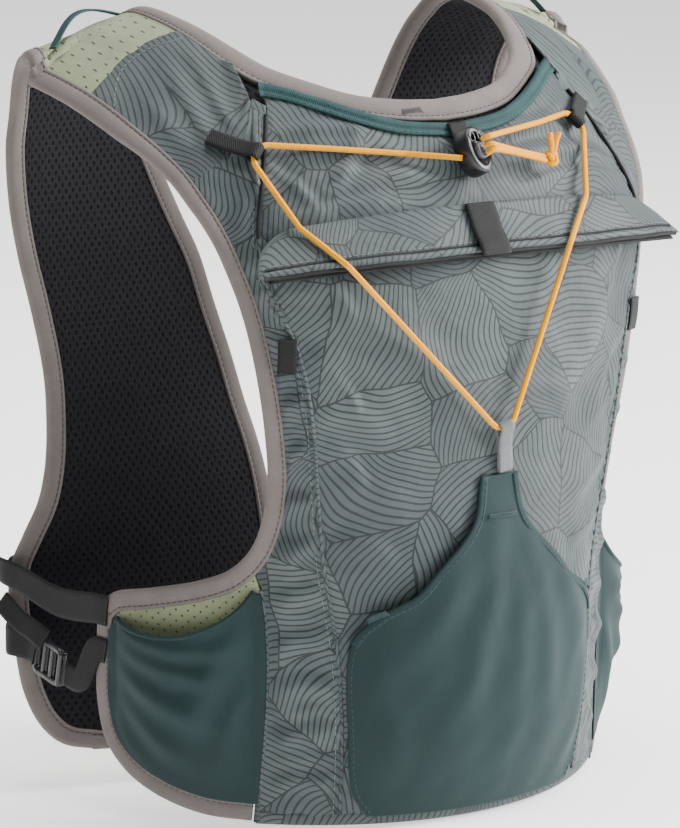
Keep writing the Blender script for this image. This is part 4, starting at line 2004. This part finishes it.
class VEST_OT_loops(VestOperator):
    """Folded tapes that hold the cord, and the sewn loops"""

    bl_idname = "vest.loops"
    bl_label = "Loops"

    def make(self, sizes):
        for name, finish, slot, node, corner, across, along, width in (
            ("cord_loop_left_tape", "webbing", "webbing", "cord_loop_left", 3, -0.735, -0.112, 8.5),
            ("anchor_loop_tape", "grey webbing", "grey_plastic", "anchor_loop", 6, 0.0, -0.555, 8.0),
            ("cord_loop_right_tape", "webbing", "webbing", "cord_loop_right", 9, 0.575, -0.120, 8.5),
        ):
            sewn = on_cloth(across, along, TAPE + 2 * CLEARANCE)
            out = unit(on_cloth(across, along, 1) - on_cloth(across, along, 0))
            folded_tape(name, finish, slot, node, corner, sewn, out, width)
        for side, word in SIDES:
            points = []
            downs = []
            for i in range(9):
                t = i / 8
                arch = SHELL_HIGH + 6 * t * CLEARANCE + TAPE / 2 + 8 * math.sin(math.pi * t)
                at, down, _ = spot(side, 0.615 + 0.29 * t, 0.022, arch)
                points.append(at)
                downs.append(down)
            shell = Shell()
            line = smooth_path(points, 1.0)
            flat_tape(shell, line, downs[4], 5.0)
            shell.finish(
                f"shoulder_loop_{word}_tape", [finish_of("teal tape")], "teal_fabric",
                [f"shoulder_loop_{word}"])
            ends = []
            for along in (-0.3745, -0.385, -0.395, -0.405, -0.4155):
                w = np.array(side * 0.650 * HALF_WIDTH)
                s = np.array(along * VEST_LENGTH)
                arch = 0.5 * math.cos((along + 0.395) / 0.0205 * math.pi / 2)
                ends.append(place(w, s, outer_height(w, s) + LAYER_ROOM + TAPE / 2 + 1.3 + arch))
            _, _, sideways = spot(side, 0.650, -0.395, 5)
            shell = Shell()
            flat_tape(shell, smooth_path(ends, 0.8), sideways, 9)
            shell.finish(f"side_loop_{word}_tape", [finish_of("webbing")], "webbing", [f"side_loop_{word}"])


def oval_body(shell, centre, right, up, face, rings, mark=0, sides=48):
    """A body of stacked ovals: each ring is depth, half width, half height"""
    angles = np.linspace(0, 2 * np.pi, sides, endpoint=False)
    rows = []
    for depth, wide, tall in rings:
        rows.append(
            centre + face * depth + right * (wide * np.cos(angles))[:, None]
            + up * (tall * np.sin(angles))[:, None]
        )
    grid = np.stack(rows, 0)
    index = shell.add_grid(grid, np.zeros(grid.shape[:2] + (2,)), mark, close_u=True)
    shell.add_cap(index[0], mark)
    shell.add_cap(index[-1][::-1], mark)


class VEST_OT_cord_lock(VestOperator):
    """Oval cord lock with its sprung button and the webbing behind it"""

    bl_idname = "vest.cord_lock"
    bl_label = "Cord lock"

    def make(self, sizes):
        half_w = LOCK_WIDTH / 2
        half_h = LOCK_LENGTH / 2
        half_t = LOCK_THICKNESS / 2
        rings = []
        for k in range(13):
            a = -math.pi / 2 + math.pi * k / 12
            inner = abs(math.cos(a)) ** 0.45
            depth = half_t * math.copysign(abs(math.sin(a)) ** 0.7, math.sin(a))
            rings.append((depth, half_w * (0.72 + 0.28 * inner), half_h * (0.78 + 0.22 * inner)))
        # The front face is dished inside its rim
        rings += [(half_t, half_w * 0.66, half_h * 0.72), (half_t - 1.4, half_w * 0.58, half_h * 0.64)]
        shell = Shell()
        oval_body(shell, LOCK, LOCK_SIDE, LOCK_UP, LOCK_FACE, rings)
        for x in (-1, 1):
            wing = rounded_loop(
                LOCK + LOCK_SIDE * x * 3.2 + LOCK_UP * 6.2 + LOCK_FACE * (half_t - 0.6),
                LOCK_SIDE, LOCK_UP, 3.6, 4.4, 1.4)
            moulded_bar(shell, wing, 0.9, 1.8, LOCK_FACE, closed=True)
        shell.finish(
            "cord_lock_body", [finish_of("black plastic")], "black_plastic", ["cord_lock"], turn=True)
        shell = Shell()
        seat = LOCK + LOCK_FACE * (half_t - 1.2) - LOCK_UP
        r = LOCK_WIDTH / 4
        oval_body(shell, seat, LOCK_SIDE, LOCK_UP, LOCK_FACE, [
            (0, r, r), (2.2, r, r), (2.9, r * 0.93, r * 0.93), (3.2, r * 0.8, r * 0.8),
            (3.0, r * 0.62, r * 0.62), (2.6, r * 0.5, r * 0.5), (2.9, r * 0.3, r * 0.3)], sides=28)
        shell.finish(
            "cord_lock_button", [finish_of("grey plastic")], "grey_plastic", ["lock_button"], turn=True)
        shell = Shell()
        rows = []
        for along in (-0.150, -0.158, -0.168, -0.178, -0.186):
            w = np.array(0.0)
            s = np.array(along * VEST_LENGTH)
            rows.append(place(w, s, pack_height(w, s) + FABRIC + 2 * CLEARANCE + TAPE / 2))
        flat_tape(shell, smooth_path(rows, 0.8), (1, 0, 0), 11)
        shell.finish("cord_lock_webbing", [finish_of("webbing")], "webbing", ["lock_webbing"])


def moulded_ring(node, shade, where, width, height, bar, corner):
    """A rounded rectangular ring that stands for the node, flat on the cloth at a spot"""
    centre, down, sideways = where
    shell = Shell()
    loop = rounded_loop(centre, sideways, down, width - bar, height - bar, corner)
    moulded_bar(shell, loop, bar, 3, np.cross(sideways, down), closed=True)
    shell.finish(f"{node}_loop", [finish_of(f"{shade} plastic")], f"{shade}_plastic", [node], turn=True)


class VEST_OT_straps(VestOperator):
    """Side straps with their rings and ladder locks, and the sternum rings"""

    bl_idname = "vest.straps"
    bl_label = "Straps and rings"

    def make(self, sizes):
        on_binding = BINDING_HIGH + CLEARANCE
        for side, word in SIDES:
            def at(x, y, z):
                return np.array([side * x * HALF_WIDTH, y * BACK_DEPTH, z * VEST_LENGTH])

            def tape(name, rows, direction, finish="webbing", thickness=TAPE):
                points = [row[0] for row in rows]
                line = smooth_path(points, 1.0)
                marks = np.linspace(0, 1, len(points))
                runs = np.concatenate([[0], np.cumsum([
                    np.linalg.norm(b - a) for a, b in zip(points, points[1:])])])
                marks = runs / runs[-1]
                widths = np.interp(np.linspace(0, 1, len(line)), marks, [row[1] for row in rows])
                across = unit((0, direction[0], direction[1]))
                shell = Shell()
                flat_tape(shell, line, across, widths, thickness)
                return shell.finish(
                    f"{name}_{word}_tape", [finish_of(finish)], "webbing", [f"{name}_{word}"])

            moulded_ring(f"side_ring_{word}", "black", spot(side, 0.909, 0.750, on_binding + 1.5),
                         12, 19, 2.6, 2.4)
            tape("side_strap", [
                (spot(side, 1.112, -0.735, on_binding + TAPE / 2)[0], 15),
                (spot(side, 1.145, -0.734, on_binding + TAPE / 2)[0], 15),
                (at(0.895, -0.02, -0.700), 15), (at(0.920, 0.18, -0.682), 13.5),
                (at(0.932, 0.25, -0.677), 12.8), (at(0.930, 0.30, -0.675), 12),
            ], (0, 1))
            tape("return_strap", [
                (at(0.945, 0.25, -0.712), 11), (at(0.930, 0.16, -0.733), 11),
                (at(0.920, 0.10, -0.741), 11), (at(0.9095, 0.04, -0.751), 11),
            ], (0.5, 0.87))
            buckle = at(0.895, 0.045, -0.777)
            right = unit((0, -0.95, -0.2))
            up = unit(np.array([0, 0, 1.0]) - right * right[2])
            face = np.cross(right, up)
            shell = Shell()
            loop = rounded_loop(buckle, right, up, 24 - 3, 20 - 3, 3.0)
            moulded_bar(shell, loop, 3.0, 3.2, face, closed=True)
            for x, size in ((-3.2, 2.4), (3.2, 2.8)):
                bar = np.linspace(-1, 1, 12)[:, None] * up * 8.0 + buckle + right * x
                moulded_bar(shell, bar, size, 2.6, face)
            lip = np.linspace(-1, 1, 14)[:, None] * up * 8.6 + buckle + right * 11.2
            moulded_bar(shell, lip, 2.6, 4.6, face)
            shell.finish(
                f"ladder_lock_{word}_frame", [finish_of("black plastic")], "black_plastic",
                [f"ladder_lock_{word}"], turn=True)
            tape("lower_strap", [
                (at(0.892, -0.055, -0.788), 12), (at(0.886, -0.13, -0.790), 12),
                (spot(side, 1.155, -0.787, on_binding + TAPE / 2)[0], 12),
                (spot(side, 1.120, -0.788, on_binding + TAPE / 2)[0], 12),
            ], (0, 1))
            tape("edge_band", [
                (spot(side, 0.860, 0.836, on_binding + TAPE / 2)[0], 15),
                (spot(side, 0.955, 0.836, on_binding + TAPE / 2)[0], 15),
                (spot(side, 0.963, 0.836, on_binding / 2)[0], 15),
                (spot(side, 0.958, 0.836, -2)[0], 15),
                (at(0.9095, 0.150, -0.765), 14), (at(0.9095, 0.105, -0.771), 14),
            ], (0, 1))
            moulded_ring(f"sternum_ring_{word}", "grey", spot(side, 0.285, 0.368, on_binding + 1.5),
                         14, 20, 3.3, 2.6)


def zigzag(centre, width, height, turns, angle=0.0):
    t = np.arange(turns * 2 + 1)
    x = (t / (turns * 2) - 0.5) * width
    y = np.where(t % 2 == 0, -0.5, 0.5) * height
    c = math.cos(angle)
    s = math.sin(angle)
    return np.stack([centre[0] + x * c - y * s, centre[1] + x * s + y * c], 1)


class VEST_OT_stitching(VestOperator):
    """Rows of stitches along the bindings and seams, and the bar tacks"""

    bl_idname = "vest.stitching"
    bl_label = "Stitching"

    def make(self, sizes):
        pitch = sizes.stitch_pitch * 1000
        length = sizes.stitch_length * 1000
        outer = []
        inner = []
        for lines, way in (
            [(whole(NECK_LONG), -1)] + [(one_side(ARM, side), 1) for side, _ in SIDES]
            + [(one_side(WING_BOUND, side), -1) for side, _ in SIDES]
        ):
            outer.append(on_surface(lines(way * 8.1), 4.72))
            inner.append(on_surface(lines(way * 8.1), -0.58))
        sew("binding_stitches", outer, "binding thread", pitch, length, 0.62)
        sew("binding_stitches_inside", inner, "binding thread", pitch, length, 0.62)

        seams = []
        for side, _ in SIDES:
            line = SEAM.line(3.2, 0.02, 0.985) * (side, 1)
            seams.append(on_surface(line, lambda a, b: gusset_height(a, b) + 0.35))
            top = centripetal(YOKE_TOP) + (0, -1.2)
            seams.append(on_surface(top * (side, 1), SHELL_HIGH + LAYER_ROOM + 0.1))
            seam = WING_SEAM_EDGE.line(3.0, 0.03, 0.98) * (side, 1)
            seams.append(on_surface(seam, SHELL_HIGH + LAYER_ROOM + 0.3))
        sew("seam_stitches", seams, "grey thread", pitch, length, 0.45)

        teal = []
        for side, _ in SIDES:
            stop = STRETCH.reach(-0.752, 0, 0.9)
            line = STRETCH.line(-2.2, 0.02, stop) * (side, 1)
            teal.append(on_surface(line, lambda a, b: stretch_height(a, b) + 0.62))
            line = STRETCH.line(-2.2, stop, 0.99) * (side, 1)
            teal.append(on_surface(line, lambda a, b: stretch_height(a, b) + 0.1))
        teal.append(on_surface(MOUTH_EDGE.line(-3.5) * (-1, 1), lambda a, b: pack_height(a, b) + 1.3))
        teal.append(on_surface(MOUTH_EDGE.line(-3.5), lambda a, b: pack_height(a, b) + 1.3))
        sew("teal_stitches", teal, "teal thread", pitch, length, 0.45)

        across = np.linspace(-0.93, 0.93, 120)
        row = over_flap(across, 0.80, 1.25 + flap_bend(across, 0.80))
        sew("flap_stitches", [row], "grey thread", pitch, length, 0.45)

        tacks = []
        for side, _ in SIDES:
            at = (side * 0.350 * HALF_WIDTH, -0.716 * VEST_LENGTH)
            tacks.append(on_surface(
                zigzag(at, 9, 2.4, 9, side * -0.5), lambda a, b: stretch_height(a, b) + 1.3))
        tacks.append(on_surface(
            zigzag((0, -0.606 * VEST_LENGTH), 15, 2.0, 13), lambda a, b: stretch_height(a, b) + 1.3))
        sew("pocket_bar_tacks", tacks, "teal thread", 0.9, 1.5, 0.5)
        tacks = [on_surface(zigzag((-0.10 * HALF_WIDTH, -0.127 * VEST_LENGTH), 11, 2.0, 10), 5.1)]
        sew("neck_bar_tack", tacks, "binding thread", 0.9, 1.5, 0.5)


class VEST_PT_panel(bpy.types.Panel):
    """Lists the steps that make the vest"""

    bl_label = "Hydration vest"
    bl_idname = "VEST_PT_panel"
    bl_space_type = "VIEW_3D"
    bl_region_type = "UI"
    bl_category = "Vest"

    def draw(self, context):
        layout = self.layout
        for settings in (context.scene.vest_sizes, context.scene.vest_colours):
            box = layout.box()
            for key in settings.__annotations__:
                box.prop(settings, key)
        for step in STEPS:
            layout.operator(step.bl_idname)


STEPS = (
    VEST_OT_stage, VEST_OT_cords, VEST_OT_bindings, VEST_OT_lining, VEST_OT_front, VEST_OT_yoke,
    VEST_OT_pocket, VEST_OT_stretch_pocket, VEST_OT_wings, VEST_OT_flap, VEST_OT_loops,
    VEST_OT_cord_lock, VEST_OT_straps, VEST_OT_stitching,
)
CLASSES = (VestColours, VestSizes) + STEPS + (VEST_PT_panel,)


def register():
    for made in CLASSES:
        bpy.utils.register_class(made)
    bpy.types.Scene.vest_colours = bpy.props.PointerProperty(type=VestColours)
    bpy.types.Scene.vest_sizes = bpy.props.PointerProperty(type=VestSizes)


def unregister():
    del bpy.types.Scene.vest_sizes
    del bpy.types.Scene.vest_colours
    for made in reversed(CLASSES):
        bpy.utils.unregister_class(made)


def main():
    register()
    for step in STEPS:
        name = step.bl_idname.split(".")[1]
        getattr(bpy.ops.vest, name)()


if __name__ == "__main__":
    main()
